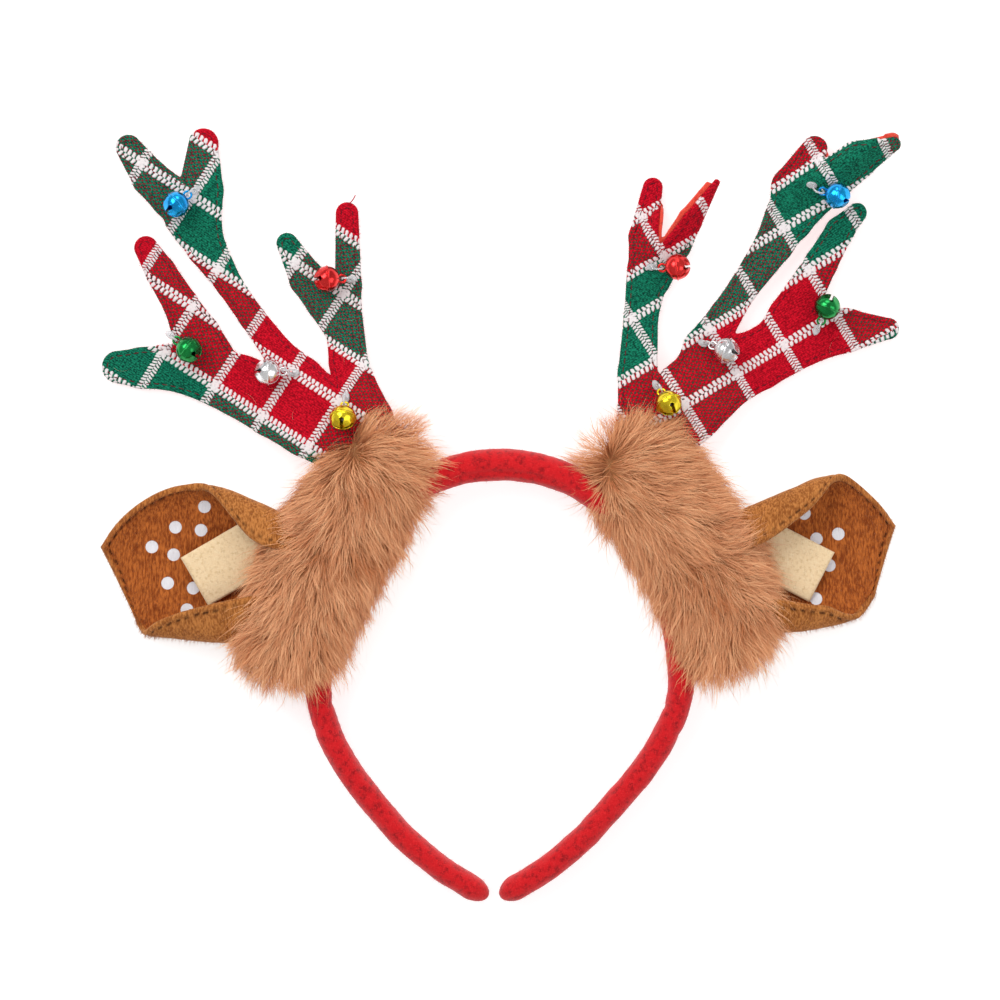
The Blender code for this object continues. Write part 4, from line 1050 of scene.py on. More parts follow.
def lacquer_finish(name, dark, bright):
    """Lacquered or nickelled brass sheet: metal whose tone and gloss change softly where the
    lacquer has pooled, with faint scuffs."""
    made, shader, start = new_finish(
        "bell_" + name, Metallic=1.0, Coat_Weight=0.35, Coat_Roughness=0.08)
    pool = grain(start, 0.0060, 2.0)
    scuff = grain(start, 0.0007)
    feed(
        shader, Base_Color=blend(smooth_ramp(pool, 0.25, 0.65), dark, bright),
        Roughness=0.20 + 0.12 * smooth_ramp(scuff, 0.45, 0.75))
    return made


steel, steel_shader, steel_wear = mottled(
    "pellet_steel", 0.0008, (0.25, 0.24, 0.23, 1), (0.48, 0.47, 0.46, 1), Metallic=1.0)
feed(steel_shader, Roughness=0.25 + 0.2 * steel_wear)
bell_points, bell_faces = joined([petals(), turned(dome_profile(), 40), wire_ring()])
ball_lean = np.radians(np.linspace(0.0, 180.0, 11))
ball_turn = even_turns(18)
ball_points = PELLET_RADIUS * np.stack([
    np.sin(ball_lean)[:, None] * np.cos(ball_turn), np.sin(ball_lean)[:, None] * np.sin(ball_turn),
    -np.cos(ball_lean)[:, None] + 0.0 * ball_turn], axis=-1)
lacquers = {name: lacquer_finish(name, *tones) for name, tones in LACQUERS.items()}

# The tags: each bell hangs on a clear plastic fastener whose loop goes through its ring,
# down through the cloth, and ends in a small oval paddle that lies on the plaid.
clear, clear_shader, haze = mottled(
    "clear_tag_plastic", 0.0016, (0.86, 0.87, 0.90, 1), (0.97, 0.97, 0.98, 1), depth=0.00008,
    Transmission_Weight=0.55, IOR=1.40, Specular_IOR_Level=0.5)
feed(clear_shader, Roughness=0.10 + 0.22 * haze)


def paddle(radius, thick):
    """A small oval cushion: radius along X, 0.62 of it along Y, this thick along Z."""
    lean = np.radians(np.linspace(0.0, 180.0, 13))[:, None]
    turn = even_turns(24)[None]
    reach = np.sin(lean) ** 0.45
    return np.stack([
        radius * reach * np.cos(turn), 0.62 * radius * reach * np.sin(turn),
        -thick / 2 * np.cos(lean) + 0.0 * turn], axis=-1).reshape(-1, 3), grid_faces(13, 24, ring=True)


for side, side_name in SIDE_NAME.items():
    for row in BELLS[side]:
        label = side_name + "_" + row[0]
        centre, way, flank, normal, tip = bell_frame(side, row)
        ring_way = way * math.cos(tip) - normal * math.sin(tip)
        ring_up = normal * math.cos(tip) + way * math.sin(tip)
        axes = np.stack([ring_up, flank, ring_way])
        bell = add_piece(
            "jingle_bell_" + label, centre + bell_points @ axes, bell_faces, lacquers[row[0]],
            weld=True, outward=True)
        drop = (BELL_RADIUS - 1.4 * BELL_WALL) * 0.866 - PELLET_RADIUS - LAYER_GAP
        pellet = add_piece(
            "steel_pellet_" + label, centre - normal * drop + ball_points.reshape(-1, 3),
            grid_faces(11, 18, ring=True), steel, weld=True, outward=True)

        hold = ring_distance() * math.cos(tip)
        crest = RING_RADIUS + 3.2 * RING_WIRE - ring_distance() * math.sin(tip)
        far = hold + RING_RADIUS + RING_WIRE + 1.9 * PIN_WIRE + 2 * LAYER_GAP
        near_foot = cloth_below(side, centre, way, normal, hold) + PIN_WIRE
        far_foot = cloth_below(side, centre, way, normal, far) + PIN_WIRE
        bend = 3.0 * PIN_WIRE
        corner = np.array([
            (hold, near_foot), (hold, crest - bend), (hold + bend * 0.3, crest - bend * 0.3),
            (hold + bend, crest), (far - bend, crest), (far - bend * 0.3, crest - bend * 0.3),
            (far, crest - bend), (far, far_foot)])
        route = smooth_curve(corner, np.linspace(0.0, chords(corner)[-1], 40))
        path = centre + route[:, :1] * way + route[:, 1:] * normal
        oval_points, oval_faces = paddle(PADDLE_RADIUS, 3.0 * PIN_WIRE)
        oval_place = centre + way * (far + 0.2 * PADDLE_RADIUS) + normal * (far_foot + 0.0002)
        oval = oval_place + oval_points @ np.stack([way, flank, normal])
        pin_points, pin_faces = joined([tubes(path[None], PIN_WIRE, 10), (oval, oval_faces)])
        pin = add_piece(
            "clear_tag_" + label, pin_points, pin_faces, clear, weld=True, outward=True)
        seat(bell, "bell_" + label)
        seat(pellet, "pellet_" + label)
        seat(pin, "pin_" + label)

# The ears: two layers of short brown plush, turned and topstitched near the edge, whose
# long sides curl over the front. White dots are printed on the inner side.
EAR_AT = 0.345
EAR_LENGTH = {LEFT: 0.0790, RIGHT: 0.0700}
EAR_THICK = 0.0018
EAR_EDGE_ROUND = 0.0009       # the edge is rounded over this width
# Columns: upper silhouette away and up, lower silhouette away and up, rise of the fold, all
# as shares of the ear's length, then the turn-over of the upper and lower edge in degrees
EAR_ROWS = {
    LEFT: (
        (1.092, 0.135, 0.905, -0.252, 0.050, 60, 72),
        (1.020, 0.220, 0.860, -0.292, 0.075, 68, 106),
        (0.900, 0.315, 0.800, -0.302, 0.095, 76, 126),
        (0.755, 0.380, 0.690, -0.312, 0.105, 84, 138),
        (0.610, 0.396, 0.600, -0.322, 0.110, 95, 145),
        (0.485, 0.375, 0.492, -0.328, 0.112, 128, 152),
        (0.370, 0.330, 0.378, -0.322, 0.112, 150, 158),
        (0.140, 0.225, 0.165, -0.235, 0.100, 158, 160),
    ),
    RIGHT: (
        (1.195, 0.290, 1.075, -0.110, 0.050, 60, 72),
        (1.115, 0.385, 0.985, -0.205, 0.080, 68, 100),
        (1.015, 0.465, 0.900, -0.240, 0.100, 76, 118),
        (0.905, 0.520, 0.805, -0.262, 0.115, 92, 132),
        (0.775, 0.510, 0.705, -0.280, 0.122, 132, 138),
        (0.625, 0.450, 0.580, -0.290, 0.124, 148, 146),
        (0.490, 0.395, 0.440, -0.290, 0.120, 158, 152),
        (0.270, 0.300, 0.245, -0.240, 0.105, 162, 158),
    ),
}
# Printed dots' centres as columns and rows of the photo, and their radius in metres
DOTS = {
    LEFT: (
        (203, 506), (236, 510), (173, 527), (199, 530), (149, 547), (171, 555), (165, 584),
        (191, 589), (185, 611)),
    RIGHT: ((806, 513), (841, 534), (819, 539), (832, 566), (808, 575), (818, 600)),
}
DOT_RADIUS = 0.0024
EAR_STITCH_INSET = 0.0027
EAR_STITCH_STEP = 0.0038
EAR_STITCH_SHARE = 0.50
EAR_GRID = (104, 116)
EAR_NAP_COUNT = 12500
EAR_NAP_LENGTH = 0.0013
EAR_NAP_WIDTH = 0.00009
OUTSIDE_SHARE = 0.42          # of the nap, on the ear's outer side


def ear_frame(side):
    """Where an ear's root lies on the band, and its length."""
    centre, outward, thick = band_stations([side * EAR_AT])
    return centre[0] + outward[0] * (thick[0] / 2), EAR_LENGTH[side]


def ear_floor(share):
    """Lowest middle of an ear at a share of the way from its tip to the band: it lies on the
    table and rises towards its root inside the sleeve."""
    return EAR_THICK / 2 + LAYER_GAP + SLEEVE_LIFT * 0.42 * as_share((share - 0.35) / 0.65) ** 2


def ear_sheet(side, count, columns):
    """Points of an ear's middle surface: each section is an arc of an ellipse that starts
    at its lower edge, passes the bottom and turns over the front at its upper edge. The
    silhouettes, the rise and the turns follow smooth curves through the table's rows."""
    root, length = ear_frame(side)
    rows = np.array(EAR_ROWS[side], float)
    rows = smooth_curve(rows, np.linspace(0.0, chords(rows)[-1], count))
    top, low = rows[:, 0:2] * length, rows[:, 2:4] * length
    turn = np.radians(np.linspace(-rows[:, 6], rows[:, 5], columns, axis=1))
    flat = ((top + low) / 2)[:, None] + (top - low)[:, None] / 2 * np.sin(turn)[:, :, None]
    z = ear_floor(np.linspace(0.0, 1.0, count)[:, None]) + rows[:, 4:5] * length * (1.0 - np.cos(turn))
    return np.stack([root[0] + side * flat[..., 0], root[1] + flat[..., 1], z], axis=2), turn


def grid_normals(points):
    """Unit normals of a grid of points, from its two directions."""
    return unit(np.cross(np.gradient(points, axis=0), np.gradient(points, axis=1)))


def edge_runs(points):
    """For a grid whose first row is the tip: distance along the surface to the nearest of
    the tip and the two long edges, and how far along that edge the place lies."""
    across = np.linalg.norm(np.diff(points, axis=1), axis=2)
    across = np.concatenate([np.zeros((len(points), 1)), np.cumsum(across, axis=1)], axis=1)
    down = np.linalg.norm(np.diff(points, axis=0), axis=2)
    down = np.concatenate([np.zeros((1, points.shape[1])), np.cumsum(down, axis=0)])
    far = across[:, -1:] - across
    sides = np.stack([across, far, down])
    nearest = sides.argmin(axis=0)
    run = np.choose(nearest, [down[:, :1] + 0.0 * down, down[:, -1:] + 0.0 * down, across])
    return sides.min(axis=0), run


plush, plush_shader, plush_start = new_finish(
    "brown_plush", Roughness=0.85, Specular_IOR_Level=0.15, Sheen_Weight=0.35, Sheen_Roughness=0.4,
    Sheen_Tint=(1.0, 0.75, 0.5, 1.0))
nap = grain(plush_start, 0.0006, 3.0, (1.0, 4.5, 1.0))
nap_cloud = grain(plush_start, 0.0050, 3.0, (1.0, 2.0, 1.0))
nap_tone = smooth_ramp(nap * 0.75 + nap_cloud * 0.25, 0.36, 0.64)
deep_plush = blend(nap_tone, (0.230, 0.046, 0.007, 1), (0.540, 0.150, 0.028, 1))
pale_plush = blend(nap_tone, (0.260, 0.078, 0.015, 1), (0.560, 0.215, 0.055, 1))
plush_base = blend(mark(plush_start, "inner"), pale_plush, deep_plush)
rim_share = 1.0 - smooth_ramp(mark(plush_start, "edge"), 1.2, 2.4)
plush_rim = blend(rim_share * 0.75, plush_base, pale_plush)
plush_sewn = blend(mark(plush_start, "stitch") * 0.95, plush_rim, (0.035, 0.009, 0.002, 1))
dot_share = 1.0 - smooth_ramp(mark(plush_start, "dot"), -0.12, 0.12)
dot_white = blend(nap, (0.70, 0.69, 0.74, 1), (0.90, 0.89, 0.92, 1))
plush_height = nap * (1.0 - dot_share * 0.8) + nap_cloud * 0.4
feed(
    plush_shader, Base_Color=blend(dot_share, plush_sewn, dot_white),
    Normal=raised(plush_height, 0.00035))

nap_finish, nap_shader, nap_start = new_finish(
    "plush_nap", Roughness=0.7, Specular_IOR_Level=0.2, Sheen_Weight=0.3)
nap_hair = mark(nap_start, "hair")
feed(
    nap_shader, Base_Color=blend(
        mark(nap_start, "inner"),
        blend(nap_hair, (0.240, 0.070, 0.014, 1), (0.580, 0.225, 0.060, 1)),
        blend(nap_hair, (0.200, 0.040, 0.006, 1), (0.580, 0.170, 0.034, 1))))

ear_skins = {}
for side, label in SIDE_NAME.items():
    rows, columns = EAR_GRID
    middle, turn = ear_sheet(side, rows, columns)
    normal = grid_normals(middle) * -side
    if normal[rows // 2, columns // 2, 2] < 0:
        normal = -normal
    edge, run = edge_runs(middle)
    dash = (run / EAR_STITCH_STEP % 1.0 < EAR_STITCH_SHARE) * 1.0
    seam = hump(edge, EAR_STITCH_INSET, 0.00055)
    stitch = hump(edge, EAR_STITCH_INSET, 0.00052) * dash
    inset = as_share(edge / EAR_EDGE_ROUND)
    half = EAR_THICK / 2 * np.sqrt(inset * (2.0 - inset))
    swell = 0.00045 * hump(edge, 0.0013, 0.0009) - 0.00030 * seam - 0.00045 * stitch
    swell += 0.00022 * lumps(middle, 0.010, 51 + side) + 0.00009 * lumps(middle, 0.003, 53 + side)
    swell *= inset
    centres = np.array([from_photo(*dot) for dot in DOTS[side]])
    gap = np.linalg.norm(middle[:, :, None, :2] - centres[None, None], axis=3).min(axis=2)
    facing = np.abs(turn) < math.radians(86.0)
    dot = np.where(facing, gap - DOT_RADIUS, 0.01)
    swell += 0.00008 * (dot < 0)
    inner_side = middle + normal * (half + swell)[..., None]
    outer_side = middle - normal * (half + swell * 0.5)[..., None]
    outer_side[..., 2] = np.maximum(outer_side[..., 2], 0.00025)
    inside = as_share((math.radians(100.0) - np.abs(turn)) / 0.3)
    points = np.concatenate([inner_side.reshape(-1, 3), outer_side.reshape(-1, 3)])
    faces = grid_faces(rows, columns)
    ends = np.arange(columns - 1) + (rows - 1) * columns
    other = rows * columns
    root_wall = np.stack([ends, ends + 1, ends + 1 + other, ends + other], axis=-1)
    every = np.concatenate([faces, faces[:, ::-1] + other, root_wall[:, ::-1]])
    flat_marks = {
        "edge": np.tile(edge.ravel(), 2) * 1000.0,
        "stitch": np.tile(stitch.ravel(), 2),
        "dot": np.concatenate([dot.ravel(), np.full(other, 0.01)]) * 1000.0,
        "inner": np.concatenate([inside.ravel(), np.zeros(other)])}
    ear = add_piece(
        "plush_ear_" + label, points, every, plush, marks=flat_marks, weld=True, outward=True)
    seat(ear, "ear_" + label)
    ear_skins[side] = inner_side

    draw = np.random.default_rng(61 + side)
    pick_row = draw.integers(1, rows - 1, EAR_NAP_COUNT)
    pick_column = draw.integers(1, columns - 1, EAR_NAP_COUNT)
    outside = draw.random(EAR_NAP_COUNT) < OUTSIDE_SHARE
    on_dot = (dot[pick_row, pick_column] < 0.00025) & ~outside
    on_stitch = stitch[pick_row, pick_column] > 0.4
    chosen = ~(on_dot | on_stitch)
    pick_row, pick_column, outside = pick_row[chosen], pick_column[chosen], outside[chosen]
    roots = np.where(
        outside[:, None], outer_side[pick_row, pick_column], inner_side[pick_row, pick_column])
    ways = normal[pick_row, pick_column] * np.where(outside, -1.0, 1.0)[:, None]
    lean = np.array([0.35 * side, -0.9, 0.0])
    nap_points, nap_faces, nap_along = short_fuzz(
        roots, ways * 0.30, lean, EAR_NAP_LENGTH, EAR_NAP_WIDTH, 71 + side)
    nap_points[:, 2] = np.maximum(nap_points[:, 2], FLOOR_CLEARANCE)
    # The nap's hair mark mixes a random tone with painted shade: each hair is coloured darker towards
    # its root.
    tone = np.repeat(draw.random(len(roots)), FUZZ_POINTS) * 0.6 + nap_along * 0.4
    nap_inside = np.repeat(
        np.where(outside, 0.0, inside[pick_row, pick_column]), FUZZ_POINTS)
    nap_marks = {"hair": tone, "inner": nap_inside}
    seat(add_piece("ear_nap_" + label, nap_points, nap_faces, nap_finish, marks=nap_marks))

# The tabs: a strip of cream wool felt lies in each ear and runs back under the fur.
TAB_WIDTH = 0.0208
TAB_THICK = 0.0014
TAB_ROWS = {LEFT: (0.632, -0.055, -30.0, 0.40), RIGHT: (0.790, -0.010, -27.0, 0.42)}
cream_felt = felt_finish(
    "cream_tab_felt", (0.760, 0.540, 0.290, 1), (0.900, 0.680, 0.410, 1),
    (0.960, 0.780, 0.530, 1), 0.0012)
for side, label in SIDE_NAME.items():
    root, length = ear_frame(side)
    away, up, heading, run = TAB_ROWS[side]
    start_at = np.array([root[0] + side * away * length, root[1] + up * length])
    bearing = math.radians(heading)
    way = np.array([-side * math.cos(bearing), -math.sin(bearing)])
    wide = np.array([-way[1], way[0]])
    s, t = np.meshgrid(np.linspace(0.0, run, 44), np.linspace(-1.0, 1.0, 40), indexing="ij")
    floor = ear_floor(as_share(1.0 - (away - s * abs(way[0]))))
    rest = floor + EAR_THICK / 2 + TAB_THICK / 2 + 3 * LAYER_GAP + (0.026 + 0.070 * s) * length
    place = start_at + s[..., None] * way * length + t[..., None] * wide * TAB_WIDTH / 2
    border = np.minimum((1.0 - np.abs(t)) * TAB_WIDTH / 2, s * length)
    half = TAB_THICK / 2 * np.sqrt(np.clip(border / 0.0006, 0.04, 1.0))
    wave = 0.00022 * lumps(np.dstack([place, 0 * s]), 0.014, 81 + side)
    both = [np.dstack([place, rest + wave + way_up * half]) for way_up in (1.0, -1.0)]
    loop = np.concatenate([both[0], both[1][:, ::-1]], axis=1)
    rows, columns = loop.shape[:2]
    cap = np.arange(columns // 2 - 1)
    cap = np.stack([cap, columns - 1 - cap, columns - 2 - cap, cap + 1], axis=-1)
    every = np.concatenate([
        grid_faces(rows, columns, ring=True), cap, cap[:, ::-1] + (rows - 1) * columns])
    tab = add_piece("cream_tab_" + label, loop, every, cream_felt, outward=True)
    seat(tab, "ear_tab_" + label)
    run * length

# The fur sleeves: long-pile tan faux fur sewn round the band over the roots of antler and
# ear. The silky pile is about 15 mm long, combed by hand and gathered in fine wavy locks.
SLEEVE_FROM = {LEFT: 0.122, RIGHT: 0.138}
SLEEVE_TO = {LEFT: 0.515, RIGHT: 0.492}
SLEEVE_MIDDLE_Z = 0.0126
SKIN_HALF_HEIGHT = 0.0100
# The backing's edges, in metres outwards from the band's middle line.
# Columns: share along the sleeve, inner edge, outer edge
SKIN_ROWS = {
    LEFT: (
        (0.00, 0.0000, 0.0235), (0.12, -0.0040, 0.0275), (0.30, -0.0095, 0.0260),
        (0.50, -0.0110, 0.0255), (0.70, -0.0090, 0.0280), (0.88, -0.0045, 0.0285),
        (1.00, 0.0000, 0.0220)),
    RIGHT: (
        (0.00, 0.0010, 0.0310), (0.12, -0.0020, 0.0345), (0.30, -0.0045, 0.0325),
        (0.50, -0.0030, 0.0330), (0.62, -0.0015, 0.0350), (0.80, 0.0005, 0.0350),
        (0.92, 0.0020, 0.0310), (1.00, 0.0040, 0.0200)),
}
HAIR_COUNT = 28000
HAIR_LENGTH = 0.0150
HAIR_WIDTH = 0.00020
STRAND_COUNT = 3600
LOCK_COUNT = 300
WISP_SHARE = 0.12             # of the hairs, longer and less gathered than the rest
UPPER_SHARE = 0.80            # of the hairs, on the side away from the table
HAIR_JOINTS = 5
FLOW_UNREST = 0.42            # how much the pile's direction wanders from the charted ways
LOCK_PULL = 0.42              # how far a strand's tip is drawn to its lock
STRAND_WAVE = 0.0020
HAIR_WAVE = 0.0008
CHART_SOFTNESS = 0.0048       # distance over which the charted ways blend
# how much darker the painted gap shade colours the hairs
GAP_SHADE = 0.35
COVER_PITCH = 0.0005
COVER_LOW = np.array([-0.150, -0.090])
COVER_SHAPE = (600, 340)
# How the pile lies, read from the photo. Columns: column and row of the place, then the
# hair's way there, to the right and down
COMBED = {
    LEFT: (
        (398, 431, 1.0, 0.10), (429, 471, 1.0, 0.50), (372, 448, 0.8, 0.5), (390, 408, 0.6, -0.8),
        (366, 424, 0.3, -0.9), (332, 446, -0.8, 0.4), (317, 492, -0.8, 0.5), (348, 477, 0.3, 1.0),
        (388, 502, 0.4, 1.0), (368, 532, 0.3, 1.0), (398, 522, 0.3, 0.9), (293, 530, -1.0, 0.4),
        (318, 545, -0.3, 0.9), (297, 583, -0.5, 0.9), (340, 575, 0.3, 1.0), (267, 593, -0.8, 0.7),
        (246, 623, -0.8, 0.6), (287, 633, -0.3, 1.0), (317, 633, -0.1, 1.0), (338, 613, 0.2, 1.0),
        (313, 670, 0.1, 1.0), (440, 445, 1.0, 0.1)),
    RIGHT: (
        (586, 440, -0.7, -0.7), (609, 430, 0.1, -1.0), (640, 425, 0.4, -0.9), (642, 450, 1.0, -0.2),
        (672, 453, 1.0, 0.1), (584, 464, -1.0, -0.1), (652, 473, 1.0, 0.1), (699, 463, 1.0, 0.25),
        (621, 483, 0.9, 0.35), (662, 498, 1.0, 0.3), (588, 490, -0.6, 0.7), (604, 512, 0.2, 1.0),
        (621, 524, 0.6, 0.8), (590, 479, -0.8, 0.5), (616, 466, 1.0, -0.1),
        (598, 452, -0.9, -0.6), (600, 468, -1.0, 0.1),
        (652, 524, 0.9, 0.6), (672, 545, 0.8, 0.6), (713, 514, 1.0, 0.2), (744, 526, 1.0, 0.1),
        (723, 545, 1.0, -0.15), (754, 553, 1.0, 0.0), (627, 545, 0.2, 1.0), (652, 565, 0.1, 1.0),
        (744, 571, 0.9, 0.5), (768, 580, 0.9, 0.4), (703, 585, 0.25, 1.0), (734, 606, 0.1, 1.0),
        (754, 616, 0.5, 0.8), (776, 606, 0.9, 0.35), (682, 616, 0.15, 1.0), (713, 636, 0.0, 1.0),
        (754, 644, 0.5, 0.8), (778, 630, 0.9, 0.4), (692, 657, -0.1, 1.0)),
}
# Painted shade in the deep gaps between the locks, where hairs rooted nearby are coloured darker:
# column, row and radius in pixels
FUR_GAP_SHADE = {
    LEFT: ((356, 548, 16), (325, 537, 10), (366, 480, 10)),
    RIGHT: ((694, 556, 18), (712, 592, 14), (742, 610, 10)),
}


def sleeve_axis(side, share):
    """Middle line of a sleeve at shares along it, its outward direction and half its width."""
    span = SLEEVE_FROM[side] + (SLEEVE_TO[side] - SLEEVE_FROM[side]) * share
    centre, outward, _ = band_stations(side * span)
    at, inner, outer = np.array(SKIN_ROWS[side]).T
    inner, outer = np.interp(share, at, inner), np.interp(share, at, outer)
    centre = centre + outward * ((inner + outer) / 2)[:, None]
    centre[:, 2] = SLEEVE_MIDDLE_Z
    return centre, outward, (outer - inner) / 2


def sleeve_skin(side, share, turn):
    """Points and normals of the fur's backing: an oval round the middle line, with rounded
    ends."""
    centre, outward, half = sleeve_axis(side, share)
    scale = np.sqrt(as_share(1.0 - as_share((np.abs(2 * share - 1) - 0.72) / 0.28) ** 2))
    points = centre + outward * (half * scale * np.cos(turn))[:, None]
    points[:, 2] += SKIN_HALF_HEIGHT * scale * np.sin(turn)
    normal = outward * (np.cos(turn) / half)[:, None]
    normal[:, 2] += np.sin(turn) / SKIN_HALF_HEIGHT
    return points, unit(normal)


def combed_way(side, points):
    """Unit direction of the pile over the table at these points: the charted ways, weighed
    by one over the fourth power of their distance."""
    chart = np.array(COMBED[side], float)
    places = np.stack(from_photo(chart[:, 0], chart[:, 1]), axis=1)
    ways = unit(chart[:, 2:] * [1.0, -1.0])
    gap = ((points[:, None, :2] - places[None]) ** 2).sum(axis=2)
    weight = 1.0 / (gap + CHART_SOFTNESS**2) ** 2
    return unit(weight @ ways)


def nearest_of(points, leads):
    """Number of the nearest lead for each point."""
    square = (leads**2).sum(axis=1)
    return np.concatenate([
        (square - 2.0 * part @ leads.T).argmin(axis=1) for part in np.array_split(points, 24)])


def cover_map(surfaces):
    """Height of the top of these surfaces over a flat grid, grown and softened a little."""
    top = np.zeros(COVER_SHAPE)
    for points in surfaces:
        flat = points.reshape(-1, 3)
        cell = ((flat[:, :2] - COVER_LOW) / COVER_PITCH).astype(int)
        fits = ((cell >= 0) & (cell < np.array(COVER_SHAPE))).all(axis=1)
        np.maximum.at(top, (cell[fits, 0], cell[fits, 1]), flat[fits, 2])
    for merge in (np.max, np.max, np.mean, np.mean, np.mean, np.mean):
        edge = np.pad(top, 1, mode="edge")
        around = [
            edge[i:i + top.shape[0], j:j + top.shape[1]] for i in range(3) for j in range(3)]
        top = merge(around, axis=0)
    return top


fur, fur_shader, fur_start = new_finish(
    "tan_long_fur", Roughness=0.55, Specular_IOR_Level=0.30, Sheen_Weight=0.10, Sheen_Roughness=0.4,
    Sheen_Tint=(1.0, 0.85, 0.7, 1.0))
hair_tone = mark(fur_start, "tone")
# Painted shade: each hair is coloured darker at its root than at its tip, by its share along; the tone
# mark adds random tone from lock to lock and the painted gap shade.
shaded_fur_root = blend(hair_tone, (0.220, 0.055, 0.017, 1), (0.800, 0.300, 0.112, 1))
fur_tip = blend(hair_tone, (0.640, 0.215, 0.072, 1), (1.000, 0.580, 0.310, 1))
feed(fur_shader, Base_Color=blend(smooth_ramp(mark(fur_start, "along"), 0.0, 0.65), shaded_fur_root, fur_tip))
# The backing's dark brown is partly the fabric's own colour and partly painted shade, standing for the
# shadowed depth of the pile where the hairs part.
backing, _, _ = mottled(
    "fur_backing", 0.0008, (0.260, 0.105, 0.040, 1), (0.440, 0.200, 0.085, 1), depth=0.0004,
    Roughness=0.95, Specular_IOR_Level=0.1)

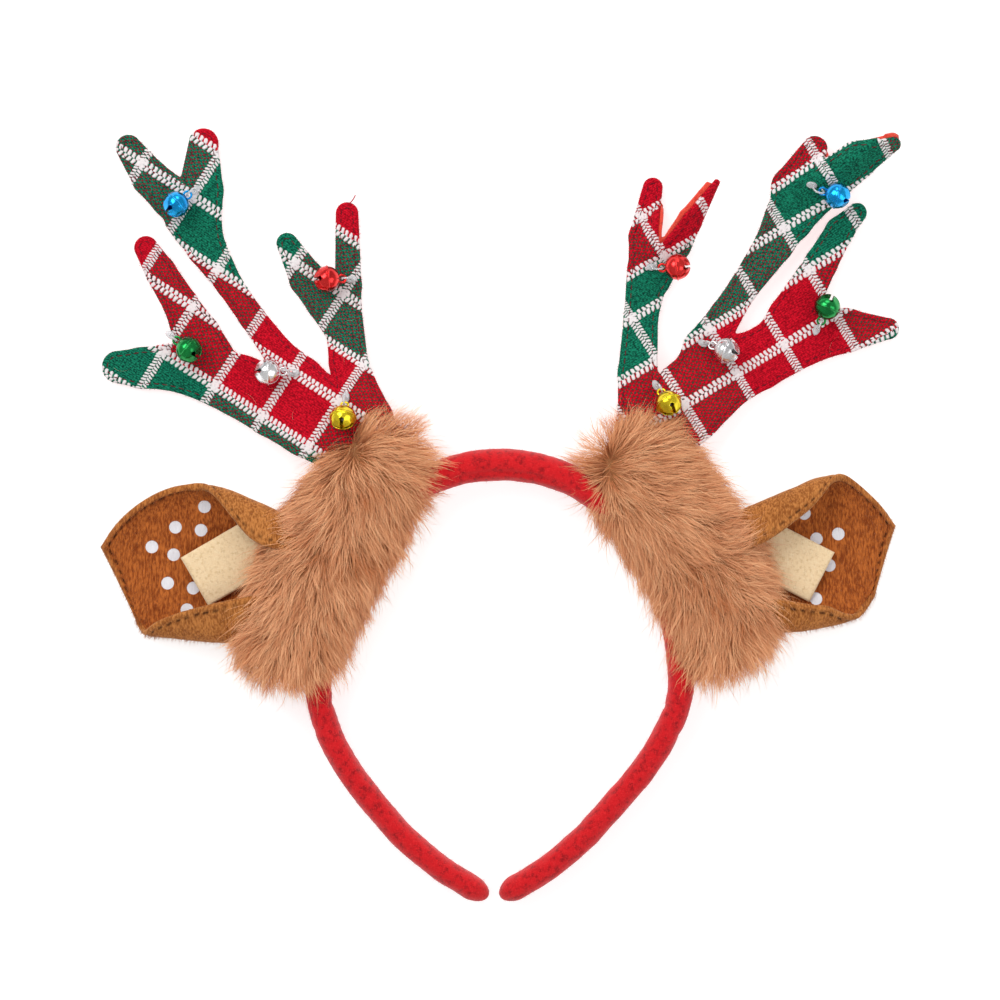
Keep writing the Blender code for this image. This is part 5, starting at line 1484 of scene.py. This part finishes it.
for side, label in SIDE_NAME.items():
    skin_shares = np.sin(np.linspace(-math.pi / 2, math.pi / 2, 61)) / 2 + 0.5
    skin_turns = even_turns(48)
    skin_points, _ = sleeve_skin(side, np.repeat(skin_shares, 48), np.tile(skin_turns, 61))
    faces = grid_faces(61, 48, ring=True)
    skin_piece = add_piece(
        "fur_backing_" + label, skin_points, faces if side == LEFT else faces[:, ::-1], backing,
        weld=True)
    seat(skin_piece, "fur_sleeve_" + label)

    draw = np.random.default_rng(91 + side)
    share = draw.uniform(0.005, 0.995, HAIR_COUNT)
    upper = draw.random(HAIR_COUNT) < UPPER_SHARE
    turn = np.where(
        upper, draw.uniform(-0.25, math.pi + 0.25, HAIR_COUNT),
        draw.uniform(math.pi + 0.25, 2 * math.pi - 0.25, HAIR_COUNT))
    roots, normal = sleeve_skin(side, share, turn)
    _, outward, _ = sleeve_axis(side, share)
    flow = np.concatenate([combed_way(side, roots), np.zeros((HAIR_COUNT, 1))], axis=1)
    flow += outward * (0.30 * np.cos(turn))[:, None]
    flow[:, 2] -= 0.30 * np.abs(np.cos(turn))
    flow += FLOW_UNREST * np.stack([lumps(roots, 0.012, 95 + k) for k in range(3)], axis=1)
    flow = unit(flow - normal * (flow * normal).sum(axis=1, keepdims=True))
    first = unit(flow * 0.75 + normal * 0.70 + draw.normal(0.0, 0.16, (HAIR_COUNT, 3)))
    last = unit(flow * 1.10 + normal * 0.05 + draw.normal(0.0, 0.24, (HAIR_COUNT, 3)) - [0, 0, 0.20])
    wisp = draw.random(HAIR_COUNT) < WISP_SHARE
    length = HAIR_LENGTH * draw.uniform(0.55, 1.10, HAIR_COUNT) * np.where(wisp, 1.45, 1.0)
    s = np.linspace(0.0, 1.0, HAIR_JOINTS)[None, :, None]
    own = roots[:, None] + length[:, None, None] * (
        first[:, None] * s + (last - first)[:, None] * s * s * 0.62)

    leads = draw.choice(HAIR_COUNT, STRAND_COUNT, replace=False)
    strand_of = nearest_of(roots, roots[leads])
    lock_leads = leads[draw.choice(STRAND_COUNT, LOCK_COUNT, replace=False)]
    lock_of = nearest_of(roots[leads], roots[lock_leads])
    lock_lead = lock_leads[lock_of]
    drawn = LOCK_PULL * s**1.3
    strand = own[leads] * (1.0 - drawn) + drawn * (
        own[lock_lead] + (roots[leads] - roots[lock_lead])[:, None] * 0.45)
    wave = draw.uniform(0.0, 2 * math.pi, (STRAND_COUNT, 1, 1)) + 5.2 * s
    strand_side = unit(np.cross(flow[leads], normal[leads]))[:, None]
    strand += strand_side * s * STRAND_WAVE * np.sin(wave)
    tight = draw.uniform(0.35, 0.90, STRAND_COUNT)[strand_of] * np.where(wisp, 0.35, 1.0)
    pull = tight[:, None, None] * s**0.9
    spread = (roots - roots[leads][strand_of])[:, None] * (0.60 - 0.48 * s)
    path = own * (1.0 - pull) + (strand[strand_of] + spread) * pull
    side_way = unit(np.cross(flow, normal))[:, None]
    curl = draw.uniform(0.0, 2 * math.pi, HAIR_COUNT)[:, None, None]
    path = path + side_way * HAIR_WAVE * s * np.sin(curl + 5.0 * s)

    cover = cover_map([antler_fronts[side][2], ear_skins[side]])
    cell = ((path[..., :2] - COVER_LOW) / COVER_PITCH).astype(int)
    cell = np.clip(cell, 0, np.array(COVER_SHAPE) - 1)
    floor = cover[cell[..., 0], cell[..., 1]] + 0.0003
    above = (np.sin(turn) > -0.05)[:, None] & (floor > 0.0008)
    lift = np.where(above, np.maximum(floor - path[..., 2], 0.0), 0.0)
    lift[:, 1:] = np.maximum(lift[:, 1:], lift[:, :-1] * 0.5)
    lift *= np.linspace(0.0, 1.0, HAIR_JOINTS)[None] ** 0.5
    path[..., 2] = np.maximum(path[..., 2] + lift, 0.0004)
    gold_seat = bell_frame(side, BELLS[side][-1])[0]
    from_bell = np.linalg.norm(path[..., :2] - gold_seat[:2], axis=2).min(axis=1)
    clear_of_bell = np.flatnonzero(from_bell > BELL_RADIUS * 0.92)

    across = unit(np.cross(flow, normal) + 0.5 * draw.normal(size=(HAIR_COUNT, 3)))
    width = HAIR_WIDTH * draw.uniform(0.6, 1.3, HAIR_COUNT)
    strand_tone = draw.uniform(0.0, 1.0, STRAND_COUNT)[strand_of]
    tone = 0.10 + 0.55 * strand_tone + 0.40 * draw.random(HAIR_COUNT)
    # Painted shade: hairs rooted near a gap between the locks are coloured darker.
    for column, row, radius in FUR_GAP_SHADE[side]:
        gap = np.linalg.norm(roots[:, :2] - from_photo(column, row), axis=1) / (radius * PIXEL)
        tone -= GAP_SHADE * hump(gap, 0.0, 1.0)
    tone = as_share(tone + 0.10 * lumps(roots, 0.012, 99))
    for part, chosen in (("low", clear_of_bell[::2]), ("high", clear_of_bell[1::2])):
        points, faces, share_out = ribbons(path[chosen], across[chosen], width[chosen])
        hair_marks = {"along": share_out, "tone": np.repeat(tone[chosen], 2 * HAIR_JOINTS - 1)}
        seat(add_piece("fur_%s_%s" % (part, label), points, faces, fur, marks=hair_marks))
